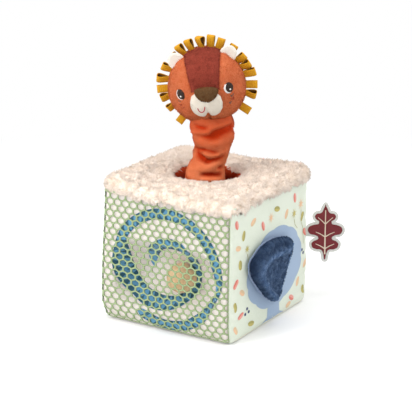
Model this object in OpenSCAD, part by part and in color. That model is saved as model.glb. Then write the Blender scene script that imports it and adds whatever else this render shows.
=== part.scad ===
// Jack in the box, as a soft play cube: a plush lion head on a coil spring stands up out of a
// furry top and is pushed down into a well. A ball is trapped behind the net of the front side,
// a plush flap hangs on the right side and a cloth tag on the rear right edge.
// Millimetres. +Z is up, -Y is the side with the net, and the origin is the middle of the base.

/* [Cube] */
// Width of the cube across its covers
cube_w = 150; // [144:1:160]
// Depth of the cube across its covers, front to back
cube_d = 150; // [144:1:160]
// Height of the side covers
cover_h = 142; // [136:1:150]
// Radius of the upright corners
corner_r = 10; // [6:1:13]
// Thickness of the cover cloth
cloth_t = 1.2; // [0.8:0.1:1.6]
// Thickness of the foam in the side walls
foam_t = 18; // [14:1:18]
// Thickness of the foam in the base
base_foam_t = 14; // [10:1:16]
// Thickness of the foam under the fur
top_foam_t = 14; // [10:1:15]
// Thickness of the stiff board in the base
board_t = 3; // [2:0.5:4]
// Gap between soft pieces that lie against each other
soft_gap = 0.3; // [0.2:0.05:0.4]

/* [Furry top] */
// Height of the fur pile above the foam
fur_t = 6; // [4:0.5:8]
// How far the fur hangs down over the covers
fur_skirt = 8; // [5:0.5:12]
// Thickness of the hanging fur
fur_skirt_t = 2.2; // [1.6:0.1:4]
// Radius of the round over the top edge of the fur
fur_round = 5; // [3:0.5:6]
// How much smaller the bore in the top foam is than the space between the walls
bore_step = 1; // [0.5:0.5:3]
// Radius of the stretchy hole in the fur
mouth_r = 33.5; // [31:0.5:36]
// How far the cuff under the hole hangs down
cuff_drop = 14; // [8:1:18]
// How much wider the cuff is at its lower edge
cuff_flare = 7; // [3:0.5:10]
// How far the head stands in front of the cube's middle
axis_forward = 1.5; // [0:0.5:2]

/* [Net and ball] */
// How far the net stands out from the covers
net_bulge = 4; // [3:0.5:5]
// Thickness of the net's threads, front to back
net_t = 0.6; // [0.4:0.1:0.9]
// Width of a thread of the net
net_thread = 1.6; // [1.2:0.1:2]
// Distance between meshes in a row
net_pitch = 9.2; // [8.4:0.2:10.4]
// Distance between the rows of meshes
net_row = 6.1; // [5.5:0.1:7]
// Width of the net's unpierced hem
net_hem = 1.6; // [1.2:0.1:2.4]
// Distance of the net's hem from the cube's sides and base
net_edge = 3; // [2:0.5:5]
// Radius of the net's corners
net_r = 5; // [3:0.5:8]
// Diameter of the ball
ball_d = 30; // [27:0.5:31]
// Play of the ball between the net and the pocket's floor
ball_play = 0.3; // [0.2:0.1:0.8]
// Place of the ball to the right of the middle
ball_x = 9; // [-20:1:20]
// Height of the ball's centre
ball_z = 54; // [50:1:80]
// Distance of the pocket's mouth from the cube's sides
pocket_side = 11; // [10:0.5:15]
// Height of the mouth's lower edge above the base
pocket_low = 10; // [8:0.5:14]
// Foam left between the pocket and the top of the wall
pocket_rim = 3; // [2:0.5:6]
// How far each of the pocket's walls leans in
pocket_lean = 24; // [18:1:28]
// Radius of the pocket's corners
pocket_r = 14; // [8:1:16]
// Thickness of the foam behind the pocket's floor
pocket_foam_t = 2; // [1.6:0.2:4]

/* [Spring and neck] */
// Mean radius of the spring's coil
spring_r = 12.5; // [11.5:0.1:13]
// Diameter of the spring's wire
wire_d = 2.2; // [1.6:0.1:2.4]
// Turns of the spring
spring_turns = 12; // [8:1:14]
// Radius of the plastic seat under the spring
seat_r = 28; // [27:0.5:30]
// Thickness of the seat's flange
seat_t = 2.4; // [2:0.2:3.2]
// Height of the bosses that the spring's ends fit round
boss_h = 7; // [5:0.5:9]
// Clearance between the bosses and the coil
boss_gap = 0.3; // [0.2:0.1:0.6]
// Radius of the disc on top of the spring
disc_r = 14.8; // [14.4:0.1:15.4]
// Thickness of the disc
disc_t = 2.5; // [2:0.1:3]
// Outer radius of the neck sleeve, at its narrowest
neck_r = 17.6; // [17.2:0.1:18.5]
// Depth of the neck's wrinkles
wrinkle = 1.4; // [0.8:0.1:2]
// Number of the neck's wrinkles
wrinkles = 16; // [8:1:20]
// Thickness of the neck sleeve
sleeve_t = 1.5; // [1:0.1:1.8]
// Width of the ring that clamps the sleeve's lower end
clamp_t = 1.5; // [1:0.1:1.8]
// Height of the clamp ring
clamp_h = 5; // [3:0.5:8]
// Length of neck between the fur and the chin
neck_show = 51; // [40:1:60]
// Number of screws in the seat
screws = 3; // [3:1:6]
// Radius of a screw's head
screw_head_r = 2.4; // [2:0.1:2.6]
// Height of a screw's head
screw_head_h = 1.6; // [1:0.1:2.4]
// Radius of a screw's shank
screw_r = 1.5; // [1.2:0.1:1.8]
// Clearance round a screw's shank
screw_gap = 0.1; // [0.05:0.05:0.2]

/* [Ball joint] */
// Radius of the knob that carries the head
knob_r = 8; // [7:0.2:8.4]
// Clearance between the knob and its socket
knob_gap = 0.3; // [0.2:0.05:0.4]
// Wall of the socket
socket_wall = 3; // [2:0.2:3.4]
// Radius of the socket's opening
socket_open_r = 6.8; // [6.4:0.1:6.8]
// Radius of the socket's flange
socket_flange_r = 18; // [15:0.5:20]
// Thickness of the socket's flange
socket_flange_t = 2.5; // [2:0.1:3.5]
// Height of the knob's centre above the chin
knob_rise = 11; // [10.5:0.1:12]
// Radius of the knob's stem
stem_r = 3; // [2.6:0.1:3.2]
// Running clearance of the stem in the disc
stem_gap = 0.05; // [0.03:0.01:0.1]
// Radius of the stem's shoulder, and of the clip under the disc
shoulder_r = 5.5; // [4.6:0.1:6]
// Thickness of the shoulder, and of the clip
shoulder_t = 1.5; // [1.2:0.1:1.8]
// Distance from the chin down to the disc
disc_drop = 3.5; // [3.2:0.1:4]

/* [Head] */
// Diameter of the head, seen from the front
head_d = 75.5; // [70:0.5:78]
// Depth of the head, front to back
head_deep = 64; // [58:0.5:66]
// Thickness of the head's plush
skin_t = 1.4; // [1:0.1:2]
// Radius of the opening for the neck under the head
throat_r = 15; // [13:0.5:16]
// Turn of the face from the net side towards the right side
head_yaw = 29; // [0:1:45]
// Lean of the head to its right
head_roll = 8; // [0:1:10]
// Width of the dark stripe at the forehead
stripe_top_w = 38; // [30:1:44]
// Width of the dark stripe at the nose
stripe_low_w = 25; // [20:1:28]
// Height of the stripe's lower end over the head's middle
stripe_end = 3; // [1:0.5:5]
// Radius of each half of the muzzle
muzzle_r = 12.5; // [11:0.5:13]
// Distance of each half of the muzzle from the middle line
muzzle_side = 5.5; // [4:0.5:7]
// Distance of the muzzle below the head's middle
muzzle_drop = 12; // [11:0.5:14]
// How far the muzzle stands out of the face
muzzle_out = 6; // [5:0.5:7]
// Radius of the half-round nose
nose_r = 10.5; // [8:0.5:11]
// How far the nose stands out in front of the muzzle
nose_out = 1.2; // [1:0.2:2]
// Radius of an eye
eye_r = 4.4; // [3.5:0.1:5]
// Height of an eye above the face
eye_out = 1.9; // [1.2:0.1:2.6]
// Distance of each eye from the middle line
eye_side = 24; // [21:0.5:25]
// Distance of the eyes below the head's middle
eye_drop = 0; // [-2:0.5:2]
// Radius of the stitched smile
smile_r = 3.3; // [2.5:0.1:4]
// Radius of the stitching thread
thread_r = 0.5; // [0.3:0.05:0.7]
// Length of a cheek stitch
stitch_l = 4; // [3:0.5:5]
// Distance from one cheek stitch to the next, and from the eye to the first
stitch_step = 3.5; // [2.5:0.1:4]
// Radius of an ear
ear_r = 7.5; // [6:0.5:9]
// Thickness of an ear
ear_t = 3; // [2:0.2:4]
// How far the ears' centres lie outside the head's edge
ear_rise = 1.75; // [0.5:0.25:3]
// Angle of the ears from the top of the head
ear_angle = 41.5; // [35:0.5:48]

/* [Mane] */
// Number of ribbon loops round the head
ribbons = 19; // [13:1:21]
// Angle from the top of the head to the first loop
mane_start = -136; // [-150:1:-120]
// Angle from the top of the head to the last loop
mane_end = 130; // [120:1:150]
// Width of the ribbon
ribbon_w = 7.5; // [6:0.5:9]
// Length of a loop
ribbon_l = 13; // [10:0.5:15]
// Thickness of a loop, front to back
loop_t = 5; // [3.6:0.2:6]
// Thickness of the ribbon
ribbon_t = 0.9; // [0.6:0.1:1.1]

/* [Flap] */
// Thickness of the flap's plush outside
flap_plush_t = 3; // [2:0.2:4]
// Thickness of the flap's lining
flap_lining_t = 2.4; // [1.6:0.2:3]
// Distance of the flap from the cover
flap_gap = 0.5; // [0.4:0.05:0.7]
// Place of the sewn edge's lower end behind the middle
flap_y = 12; // [0:1:16]
// Height of the sewn edge's lower end
flap_z = 30; // [26:1:40]
// Length of the sewn edge
flap_edge = 46; // [40:1:50]
// Lean of the sewn edge towards the back
flap_lean = 29; // [15:1:35]
// Reach of the flap from its sewn edge
flap_reach = 76; // [60:1:80]
// Width of the hem that is sewn to the cover
hem_w = 3.6; // [2.5:0.1:5]

/* [Tag] */
// Reach of the tag from the seam
tag_reach = 41; // [34:1:46]
// Height of the tag
tag_h = 63; // [50:1:70]
// Height of the tag's middle
tag_z = 76; // [60:1:90]
// Thickness of the tag
tag_t = 1.2; // [0.8:0.1:1.8]
// Direction in which the tag stands out, from the right side towards the back
tag_turn = 32; // [20:1:60]
// Distance of the tag's root from the seam
tag_gap = 0.8; // [0.7:0.05:0.9]

/* [Hidden] */
$fn = 96;

// A length that is past anything in the part, for cutting
past = 2 * (cube_w + cube_d);
// A short length by which a cutting shape stands past what it cuts
over = 1;
// Thickness of the slices that a hull is spanned between
thin = 0.01;
// Facets of the rounds inside a hull
hull_fn = 32;

half_w = cube_w / 2;
half_d = cube_d / 2;
core_in = cloth_t + soft_gap;
axis_y = -axis_forward;

// Heights, from the base up
wall_top = cover_h - top_foam_t - soft_gap;
board_z = core_in + base_foam_t + soft_gap;
seat_z = board_z + board_t;
seat_top = seat_z + seat_t;
fur_z = cover_h + soft_gap + fur_t;
chin_z = fur_z + neck_show;
knob_z = chin_z + knob_rise;
disc_top = chin_z - disc_drop;
disc_z = disc_top - disc_t;
head_r = head_d / 2;
head_z = chin_z + head_r;
ear_out = head_r + ear_rise;

// The ball's pocket, across, up, and from the net back
pocket_w = cube_w - 2 * pocket_side;
pocket_h = wall_top - core_in - pocket_rim - pocket_low;
pocket_z = pocket_low + pocket_h / 2;
net_y = -half_d - net_bulge;
pocket_floor = net_y + net_t + ball_d + 2 * ball_play;
ball_y = (net_y + net_t + pocket_floor) / 2;
front_foam_back = pocket_floor + cloth_t + soft_gap + pocket_foam_t;

// The well that the head goes down into
well_x = half_w - core_in - foam_t;
well_back = half_d - core_in - foam_t;
well_r = well_x - bore_step;

// The neck and its spring
wire_r = wire_d / 2;
boss_r = spring_r - wire_r - boss_gap;
sleeve_low = seat_top + soft_gap;
sleeve_top = chin_z + knob_rise;
clamp_in = neck_r + wrinkle + soft_gap;
screw_circle = (clamp_in + clamp_t + seat_r) / 2;
clip_z = disc_z - boss_h - shoulder_t - stem_gap;

// Height on the face's front at a distance from the head's middle
function face_y(x, z) = -head_deep / 2 * sqrt(1 - (x * x + z * z) / (head_r * head_r));
// Outward normal of the face at the same place
function face_n(x, z) = [x / head_r ^ 2, face_y(x, z) / (head_deep / 2) ^ 2, z / head_r ^ 2];
muzzle_y = face_y(0, muzzle_drop) + muzzle_r - muzzle_out;

// Rectangle with rounded corners between two x and two y values
module rounded_rect(x0, x1, y0, y1, r) {
    translate([x0 + r, y0]) square([x1 - x0 - 2 * r, y1 - y0]);
    translate([x0, y0 + r]) square([x1 - x0, y1 - y0 - 2 * r]);
    for (x = [x0 + r, x1 - r], y = [y0 + r, y1 - r]) translate([x, y]) circle(r);
}

// The cube's plan, drawn in by a distance
module plan(inset) {
    rounded_rect(-half_w + inset, half_w - inset, -half_d + inset, half_d - inset,
        corner_r - inset);
}

// The part of the plan that belongs to one side: 0 front, 1 right, 2 back, 3 left
module side_zone(side) {
    w = side % 2 == 0 ? half_w : half_d;
    d = side % 2 == 0 ? half_d : half_w;
    deep = corner_r + cloth_t;
    rotate(90 * side) polygon([
        [-w - over, -d - over], [w + over, -d - over],
        [w - deep, -d + deep], [-w + deep, -d + deep]
    ]);
}

module side_cover(side) {
    translate([0, 0, cloth_t]) linear_extrude(cover_h - cloth_t) intersection() {
        difference() {
            plan(0);
            plan(cloth_t);
        }
        side_zone(side);
    }
}

// The inside of the covers, as one block between two heights
module core(low, high) {
    translate([0, 0, low]) linear_extrude(high - low) plan(core_in);
}

// A box between two corners
module span(a, b) {
    translate(a) cube(b - a);
}

// The hollow of the ball's pocket, grown by a distance
module pocket(grow) {
    w = pocket_w / 2 + grow;
    h = pocket_h / 2 + grow;
    low = pocket_floor + grow;
    reach = low + half_d;
    lean = pocket_lean * reach / (reach - grow);
    translate([0, 0, pocket_z]) rotate([90, 0, 0]) hull() {
        translate([0, 0, -low]) linear_extrude(thin)
            rounded_rect(-w + lean, w - lean, -h + lean, h - lean, pocket_r, $fn = hull_fn);
        translate([0, 0, half_d]) linear_extrude(over)
            rounded_rect(-w, w, -h, h, pocket_r, $fn = hull_fn);
    }
}

module at_axis(z) {
    translate([0, axis_y, z]) children();
}

module base_cover() {
    color("#E3EBDD") linear_extrude(cloth_t) plan(0);
}

module base_foam() {
    color("#F4F0E4") intersection() {
        core(core_in, core_in + base_foam_t);
        span([-well_x + soft_gap, front_foam_back + soft_gap, 0],
            [well_x - soft_gap, well_back - soft_gap, past]);
    }
}

module base_board() {
    color("#D9C7A4") difference() {
        span([-well_x + soft_gap, front_foam_back + soft_gap, board_z],
            [well_x - soft_gap, well_back - soft_gap, board_z + board_t]);
        screw_places() cylinder(r = screw_r + screw_gap, h = past, center = true);
    }
}

module front_foam() {
    color("#F4F0E4") difference() {
        intersection() {
            core(core_in, wall_top);
            span([-past, -past, 0], [past, front_foam_back, past]);
        }
        pocket(core_in);
        at_axis(wall_top - core_in) cylinder(r = well_r, h = past);
    }
}

module front_panel() {
    color("#EFE6E2") {
        difference() {
            side_cover(0);
            pocket(0);
        }
        intersection() {
            difference() {
                pocket(cloth_t);
                pocket(0);
            }
            span([-past, -half_d, 0], [past, past, past]);
        }
    }
}

// One mesh of the net, as a hole
module net_mesh() {
    w = net_pitch - net_thread;
    h = 4 / 3 * net_row - net_thread;
    polygon([
        [0, h / 2], [w / 2, h / 4], [w / 2, -h / 4], [0, -h / 2], [-w / 2, -h / 4], [-w / 2, h / 4]
    ]);
}

module front_net() {
    w = half_w - net_edge;
    top = cover_h - fur_skirt - soft_gap;
    across = floor((w - net_hem - net_pitch / 2) / net_pitch);
    rows = ceil((top - net_edge - 2 * net_hem - 4 / 3 * net_row) / net_row);
    mid = (top + net_edge) / 2;
    color("#A9BE8A") difference() {
        translate([0, -half_d - soft_gap, 0]) rotate([90, 0, 0])
            linear_extrude(net_bulge - soft_gap)
                rounded_rect(-w, w, net_edge, top, net_r);
        translate([0, past - net_bulge - half_d + net_t, 0]) rotate([90, 0, 0])
            linear_extrude(past)
                rounded_rect(-w + net_hem, w - net_hem, net_edge + net_hem, top - net_hem,
                    net_r - net_hem);
        translate([0, 0, mid]) rotate([90, 0, 0]) linear_extrude(past)
            for (row = [0 : rows - 1]) {
                even = row % 2;
                for (i = [-across : across - even])
                    translate([(i + even / 2) * net_pitch, (row - (rows - 1) / 2) * net_row])
                        net_mesh();
            }
    }
}

module side_foam(side) {
    color("#F4F0E4") intersection() {
        core(core_in, wall_top);
        if (side == 2)
            span([-past, well_back, 0], [past, past, past]);
        else
            mirror([side == 3 ? 1 : 0, 0, 0])
                span([well_x, front_foam_back + soft_gap, 0], [past, well_back - soft_gap, past]);
    }
}

module right_foam() {
    side_foam(1);
}

module right_cover() {
    color("#E3EBDD") side_cover(1);
}

module back_foam() {
    side_foam(2);
}

module back_cover() {
    color("#E3EBDD") side_cover(2);
}

module left_foam() {
    side_foam(3);
}

module left_cover() {
    color("#E3EBDD") side_cover(3);
}

module top_foam() {
    color("#F4F0E4") difference() {
        core(cover_h - top_foam_t, cover_h);
        at_axis(0) cylinder(r = well_r, h = past);
    }
}

module fur_top() {
    x = half_w + soft_gap + fur_skirt_t;
    front = net_y - soft_gap - fur_skirt_t;
    r = corner_r + fur_skirt_t;
    low = cover_h - fur_skirt;
    color("#F3E3D3") difference() {
        hull() for (cx = [-x + r, x - r], cy = [front + r, x - half_w + half_d - r])
            translate([cx, cy, 0]) {
                translate([0, 0, low]) cylinder(r = r, h = thin, $fn = hull_fn);
                translate([0, 0, fur_z - fur_round]) rotate_extrude($fn = hull_fn)
                    translate([r - fur_round, 0]) circle(fur_round, $fn = hull_fn);
            }
        linear_extrude(cover_h + soft_gap) rounded_rect(
            -half_w - soft_gap, half_w + soft_gap, net_y - soft_gap, half_d + soft_gap,
            corner_r);
        at_axis(0) cylinder(r = well_r, h = past);
    }
}

module fur_collar() {
    low = cover_h + cloth_t + 2 * soft_gap;
    color("#F3E3D3") at_axis(low) difference() {
        cylinder(r = well_r - soft_gap, h = fur_z - low);
        cylinder(r = mouth_r, h = past, center = true);
    }
}

module mouth_cuff() {
    top = cover_h + soft_gap + cloth_t;
    low = top - cuff_drop;
    color("#D8592A") at_axis(0) rotate_extrude() polygon([
        [mouth_r, top], [well_r - soft_gap, top], [well_r - soft_gap, top - cloth_t],
        [mouth_r + 2 * cloth_t, top - cloth_t], [mouth_r + cuff_flare + cloth_t, low],
        [mouth_r + cuff_flare, low], [mouth_r, top - cloth_t]
    ]);
}

// The well's space: a box below and a bore above, drawn in by a distance
module well(inset) {
    span([-well_x + inset, front_foam_back + inset, seat_z + inset],
        [well_x - inset, well_back - inset, wall_top - inset + soft_gap]);
    at_axis(wall_top - core_in + inset) cylinder(r = well_r - inset, h = past);
}

module well_lining() {
    color("#C94F22") intersection() {
        difference() {
            well(soft_gap);
            well(core_in);
            intersection() {
                span([-well_x + core_in, front_foam_back + core_in, board_z],
                    [well_x - core_in, well_back - core_in, past]);
                at_axis(wall_top / 2) cylinder(r = well_r - core_in, h = past);
            }
            at_axis(0) cylinder(r = seat_r + soft_gap, h = wall_top / 2);
        }
        span([-past, -past, 0], [past, past, cover_h]);
    }
}

module screw_places() {
    at_axis(0) for (i = [0 : screws - 1]) rotate(360 / screws * i)
        translate([screw_circle, 0, 0]) children();
}

module spring_seat() {
    color("#E8E4DA") difference() {
        at_axis(seat_z) {
            cylinder(r = seat_r, h = seat_t);
            cylinder(r = boss_r, h = seat_t + boss_h);
        }
        screw_places() cylinder(r = screw_r + screw_gap, h = past, center = true);
    }
}

module seat_screws() {
    color("#B9BDC0") screw_places() {
        translate([0, 0, seat_top]) cylinder(r = screw_head_r, h = screw_head_h);
        translate([0, 0, board_z]) cylinder(r = screw_r, h = seat_top - board_z);
    }
}

// A helix of wire with eight-sided ends, as one closed solid
module spring() {
    sides = 8;
    steps = 18 * spring_turns;
    low = seat_top + wire_r + stem_gap;
    rise = disc_z - wire_r - stem_gap - low;
    function ring(k) = [
        for (j = [0 : sides - 1])
            let (a = 360 * spring_turns * k / steps, b = 360 / sides * j,
                r = spring_r + wire_r * cos(b))
                [r * cos(a), r * sin(a), low + rise * k / steps + wire_r * sin(b)]
    ];
    points = [for (k = [0 : steps]) each ring(k)];
    last = steps * sides;
    faces = concat(
        [[for (j = [0 : sides - 1]) j]],
        [[for (j = [sides - 1 : -1 : 0]) last + j]],
        [for (k = [0 : steps - 1], j = [0 : sides - 1])
            let (a = k * sides + j, b = k * sides + (j + 1) % sides)
                [b, a, a + sides]],
        [for (k = [0 : steps - 1], j = [0 : sides - 1])
            let (a = k * sides + j, b = k * sides + (j + 1) % sides)
                [b, a + sides, b + sides]]
    );
    color("#B9BDC0") at_axis(0) polyhedron(points, faces, convexity = 20);
}

// The sleeve, wrinkled up its length and shaped to the head's underside
module neck_sleeve() {
    steps = wrinkles * 4;
    rise = sleeve_top - sleeve_low;
    function outer(t) = neck_r + wrinkle / 2 * (1 - cos(360 * wrinkles * t));
    side = [for (i = [0 : steps]) [outer(i / steps), sleeve_low + rise * i / steps]];
    inside = [for (i = [steps : -1 : 0]) [outer(i / steps) - sleeve_t, sleeve_low + rise * i / steps]];
    color("#D8592A") difference() {
        at_axis(0) rotate_extrude() polygon(concat(side, inside));
        head_place() head_form(soft_gap);
    }
}

module sleeve_clamp() {
    color("#E8E4DA") at_axis(seat_top) difference() {
        cylinder(r = clamp_in + clamp_t, h = clamp_h);
        cylinder(r = clamp_in, h = past, center = true);
    }
}

module spring_disc() {
    color("#E8E4DA") at_axis(0) difference() {
        union() {
            translate([0, 0, disc_z]) cylinder(r = disc_r, h = disc_t);
            translate([0, 0, disc_z - boss_h]) cylinder(r = boss_r, h = boss_h + disc_t);
        }
        cylinder(r = stem_r + stem_gap, h = past);
    }
}

module neck_knob() {
    color("#D8D4C8") at_axis(0) {
        translate([0, 0, knob_z]) sphere(knob_r);
        translate([0, 0, clip_z]) cylinder(r = stem_r, h = knob_z - clip_z);
        translate([0, 0, disc_top + stem_gap]) cylinder(r = shoulder_r, h = shoulder_t);
    }
}

module knob_clip() {
    color("#B9BDC0") at_axis(clip_z) difference() {
        cylinder(r = shoulder_r, h = shoulder_t);
        cylinder(r = stem_r + stem_gap, h = past, center = true);
    }
}

// Everything of the head is made facing -Y about the head's middle, then stood on the neck
module head_place() {
    at_axis(head_z) rotate([0, 0, head_yaw]) rotate([0, -head_roll, 0]) children();
}

// The head's shape, grown by a distance
module head_form(grow) {
    rows = 28;
    rotate([90, 0, 0]) rotate_extrude() polygon([
        for (i = [0 : rows])
            let (a = -90 + 180 * i / rows)
                [(head_r + grow) * cos(a), (head_deep / 2 + grow) * sin(a)]
    ]);
}

// The socket's own space inside the head, grown by a distance
module socket_space(grow) {
    translate([0, axis_y, knob_z]) {
        sphere(knob_r + knob_gap + socket_wall + grow);
        translate([0, 0, -grow]) cylinder(r = socket_flange_r + grow, h = socket_flange_t + 2 * grow);
    }
}

module head_socket() {
    color("#E8E4DA") difference() {
        socket_space(0);
        at_axis(knob_z) {
            sphere(knob_r + knob_gap);
            translate([0, 0, -past]) cylinder(r = socket_open_r, h = past);
        }
    }
}

module throat() {
    at_axis(knob_z - past) cylinder(r = throat_r, h = past);
}

module head_stuffing() {
    color("#F7F5EE") difference() {
        head_place() head_form(-skin_t - soft_gap);
        socket_space(soft_gap);
        throat();
    }
}

module skin() {
    difference() {
        head_form(0);
        head_form(-skin_t);
    }
}

// Half the stripe's width at a height over the head's middle
function stripe_x(z) = stripe_low_w / 2
    + (stripe_top_w - stripe_low_w) / 2 * (z - stripe_end) / (head_r - stripe_end);

// A piece of the head's front plush with an outline in x and z
module face_piece(outline) {
    difference() {
        head_place() intersection() {
            skin();
            rotate([90, 0, 0]) linear_extrude(past) polygon(outline);
        }
        throat();
    }
}

function face_half() = [
    [0, -head_d], [0, stripe_end], [stripe_x(stripe_end), stripe_end],
    [stripe_x(head_d), head_d], [head_d, head_d], [head_d, -head_d]
];

module face_left() {
    color("#DB7245") face_piece([for (p = face_half()) [-p[0], p[1]]]);
}

module face_right() {
    color("#DB7245") face_piece(face_half());
}

module forehead_stripe() {
    low = stripe_x(stripe_end);
    top = stripe_x(head_d);
    color("#9A3F35") face_piece([
        [-low, stripe_end], [low, stripe_end], [top, head_d], [-top, head_d]
    ]);
}

module head_back() {
    color("#DB7245") difference() {
        head_place() intersection() {
            skin();
            span([-past, 0, -past], [past, past, past]);
        }
        throat();
    }
}

// The muzzle's two halves, grown by a distance
module muzzle_form(grow) {
    for (x = [-muzzle_side, muzzle_side])
        translate([x, muzzle_y, -muzzle_drop]) rotate([90, 0, 0]) sphere(muzzle_r + grow);
}

module muzzle() {
    color("#F1EBDD") head_place() difference() {
        muzzle_form(0);
        head_form(soft_gap);
    }
}

module nose() {
    front = muzzle_y - muzzle_r - nose_out;
    color("#6F573F") head_place() difference() {
        intersection() {
            translate([0, 0, stripe_end + soft_gap]) rotate([90, 0, 0])
                cylinder(r = nose_r, h = -front);
            span([-past, -past, -past], [past, past, stripe_end + soft_gap]);
        }
        muzzle_form(soft_gap);
        head_form(soft_gap);
    }
}

// Stands a piece on the face with -Y out of it
module on_face(x, z) {
    n = face_n(x, z);
    translate([x, face_y(x, z), z])
        rotate([-asin(n[2] / norm(n)), 0, atan2(n[0], -n[1])]) children();
}

module eyes() {
    color("#35281F") head_place() difference() {
        for (x = [-eye_side, eye_side]) on_face(x, -eye_drop)
            rotate([90, 0, 0]) translate([0, 0, -eye_out]) cylinder(r = eye_r, h = 2 * eye_out);
        head_form(soft_gap);
    }
}

module smile_stitch() {
    drop = smile_r;
    out = muzzle_r + thread_r + soft_gap;
    color("#B5363C") head_place()
        translate([-muzzle_side, muzzle_y, -muzzle_drop]) rotate([asin(drop / out), 0, 0])
            translate([0, -out, 0]) rotate([90, 0, 0]) rotate([0, 0, 180])
                rotate_extrude(angle = 180) translate([smile_r, 0]) circle(thread_r, $fn = 24);
}

module cheek_stitches() {
    top = eye_drop + eye_r + stitch_step;
    color("#8C5A3C") head_place()
        for (s = [-1, 1], i = [0 : 2])
            on_face(s * (eye_side - i * thread_r), -top - stitch_step * i)
            translate([0, -thread_r - soft_gap, 0]) rotate([0, 90, 0])
                cylinder(r = thread_r, h = stitch_l, center = true, $fn = 24);
}

module ears() {
    y = ribbon_w / 2 + soft_gap;
    color("#EFE8DF") head_place() difference() {
        for (s = [-1, 1]) rotate([0, s * ear_angle, 0]) translate([0, -y, ear_out])
            rotate([90, 0, 0]) cylinder(r = ear_r, h = ear_t);
        head_form(soft_gap);
    }
}

module ribbon_loop() {
    end = ribbon_l - loop_t / 2;
    rotate([0, -90, 0]) linear_extrude(ribbon_w, center = true) difference() {
        union() {
            translate([0, -loop_t / 2]) square([end, loop_t]);
            translate([end, 0]) circle(loop_t / 2);
        }
        translate([ribbon_t, -loop_t / 2 + ribbon_t])
            square([end - ribbon_t, loop_t - 2 * ribbon_t]);
        translate([end, 0]) circle(loop_t / 2 - ribbon_t);
    }
}

module mane_ribbons() {
    color("#D59A1A") head_place() for (i = [0 : ribbons - 1])
        rotate([0, mane_start + (mane_end - mane_start) * i / (ribbons - 1), 0])
            translate([0, 0, head_r + soft_gap]) ribbon_loop();
}

module ball() {
    color("#E8C79C") translate([ball_x, ball_y, ball_z]) sphere(ball_d / 2);
}

// Lays a piece on the right side: x runs away from the flap, y up the sewn edge, z out
module on_flap(out) {
    translate([half_w + out, flap_y, flap_z]) rotate([-flap_lean, 0, 0])
        rotate([90, 0, 90]) children();
}

// The flap's outline: a broad ear with one straight edge along x = 0
module flap_outline() {
    tip = flap_reach / 8;
    lobe = flap_reach / 4;
    crown = flap_edge * 2 / 3;
    intersection() {
        hull() {
            translate([-flap_reach + tip, flap_edge / 4]) circle(tip, $fn = hull_fn);
            translate([-flap_reach / 2, crown]) circle(lobe, $fn = hull_fn);
            translate([-tip, flap_edge - tip / 2]) circle(tip, $fn = hull_fn);
            translate([-tip, tip / 2]) circle(tip, $fn = hull_fn);
        }
        translate([-past, -past / 2]) square([past, past]);
    }
}

module flap_lining() {
    color("#8FA3C4") on_flap(flap_gap) linear_extrude(flap_lining_t) flap_outline();
}

module flap_plush() {
    color("#3C5678") on_flap(flap_gap + flap_lining_t + soft_gap)
        linear_extrude(flap_plush_t) flap_outline();
}

module flap_hem() {
    color("#2E4460") on_flap(flap_gap / 2) linear_extrude(flap_gap)
        translate([soft_gap, 0]) square([hem_w, flap_edge]);
}

// The tag's outline: an upright leaf with three lobes on each side and a root at the seam
module tag_outline() {
    lobe = tag_reach / 4;
    tip = lobe * 2 / 3;
    step = (tag_h / 2 - lobe) * 4 / 5;
    mid = tag_reach / 2;
    translate([0, -lobe / 2]) square([mid, lobe]);
    translate([mid, 0]) circle(lobe * 3 / 2);
    for (z = [-step, 0, step], s = [-1, 1])
        translate([mid + s * lobe, z]) circle(lobe - soft_gap);
    for (s = [-1, 1]) translate([mid, s * (tag_h / 2 - tip)]) circle(tip);
}

module label_tag() {
    color("#7C2329") translate([half_w - corner_r, half_d - corner_r, tag_z])
        rotate([0, 0, tag_turn]) translate([corner_r + tag_gap, 0, 0])
            rotate([90, 0, 0]) translate([0, 0, -tag_t / 2]) linear_extrude(tag_t) tag_outline();
}

base_cover();
base_foam();
base_board();
front_foam();
front_panel();
front_net();
right_foam();
right_cover();
back_foam();
back_cover();
left_foam();
left_cover();
top_foam();
fur_top();
fur_collar();
mouth_cuff();
well_lining();
spring_seat();
seat_screws();
spring();
neck_sleeve();
sleeve_clamp();
flap_hem();
spring_disc();
neck_knob();
knob_clip();
head_socket();
head_stuffing();
face_left();
face_right();
forehead_stripe();
head_back();
muzzle();
nose();
eyes();
smile_stitch();
cheek_stitches();
ears();
mane_ribbons();
ball();
flap_plush();
flap_lining();
label_tag();
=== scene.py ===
import math

import bmesh
import bpy
import numpy as np
from mathutils import Matrix, Vector, noise


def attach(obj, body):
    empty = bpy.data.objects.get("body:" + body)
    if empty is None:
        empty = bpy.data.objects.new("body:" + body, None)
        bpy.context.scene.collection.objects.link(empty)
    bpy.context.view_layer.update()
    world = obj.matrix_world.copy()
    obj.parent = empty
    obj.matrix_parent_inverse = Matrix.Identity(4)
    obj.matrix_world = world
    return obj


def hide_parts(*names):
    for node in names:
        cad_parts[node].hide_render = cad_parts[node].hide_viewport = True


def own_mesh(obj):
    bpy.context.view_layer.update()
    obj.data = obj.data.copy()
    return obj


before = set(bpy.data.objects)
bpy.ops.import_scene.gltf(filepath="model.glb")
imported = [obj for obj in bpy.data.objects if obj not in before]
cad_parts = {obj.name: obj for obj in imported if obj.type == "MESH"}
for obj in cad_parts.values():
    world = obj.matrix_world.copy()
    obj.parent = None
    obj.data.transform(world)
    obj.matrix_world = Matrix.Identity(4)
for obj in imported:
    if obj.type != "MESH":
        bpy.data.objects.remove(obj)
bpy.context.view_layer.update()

# A soft jack in the box: a plush lion head on a sprung neck, in a cloth cube with a furry top.
# Everything is worked out in millimetres and stored in metres, in the frame of the CAD model.
MM = 0.001
RNG = np.random.default_rng(7)

FRONT, RIGHT, BACK, LEFT = range(4)
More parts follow.
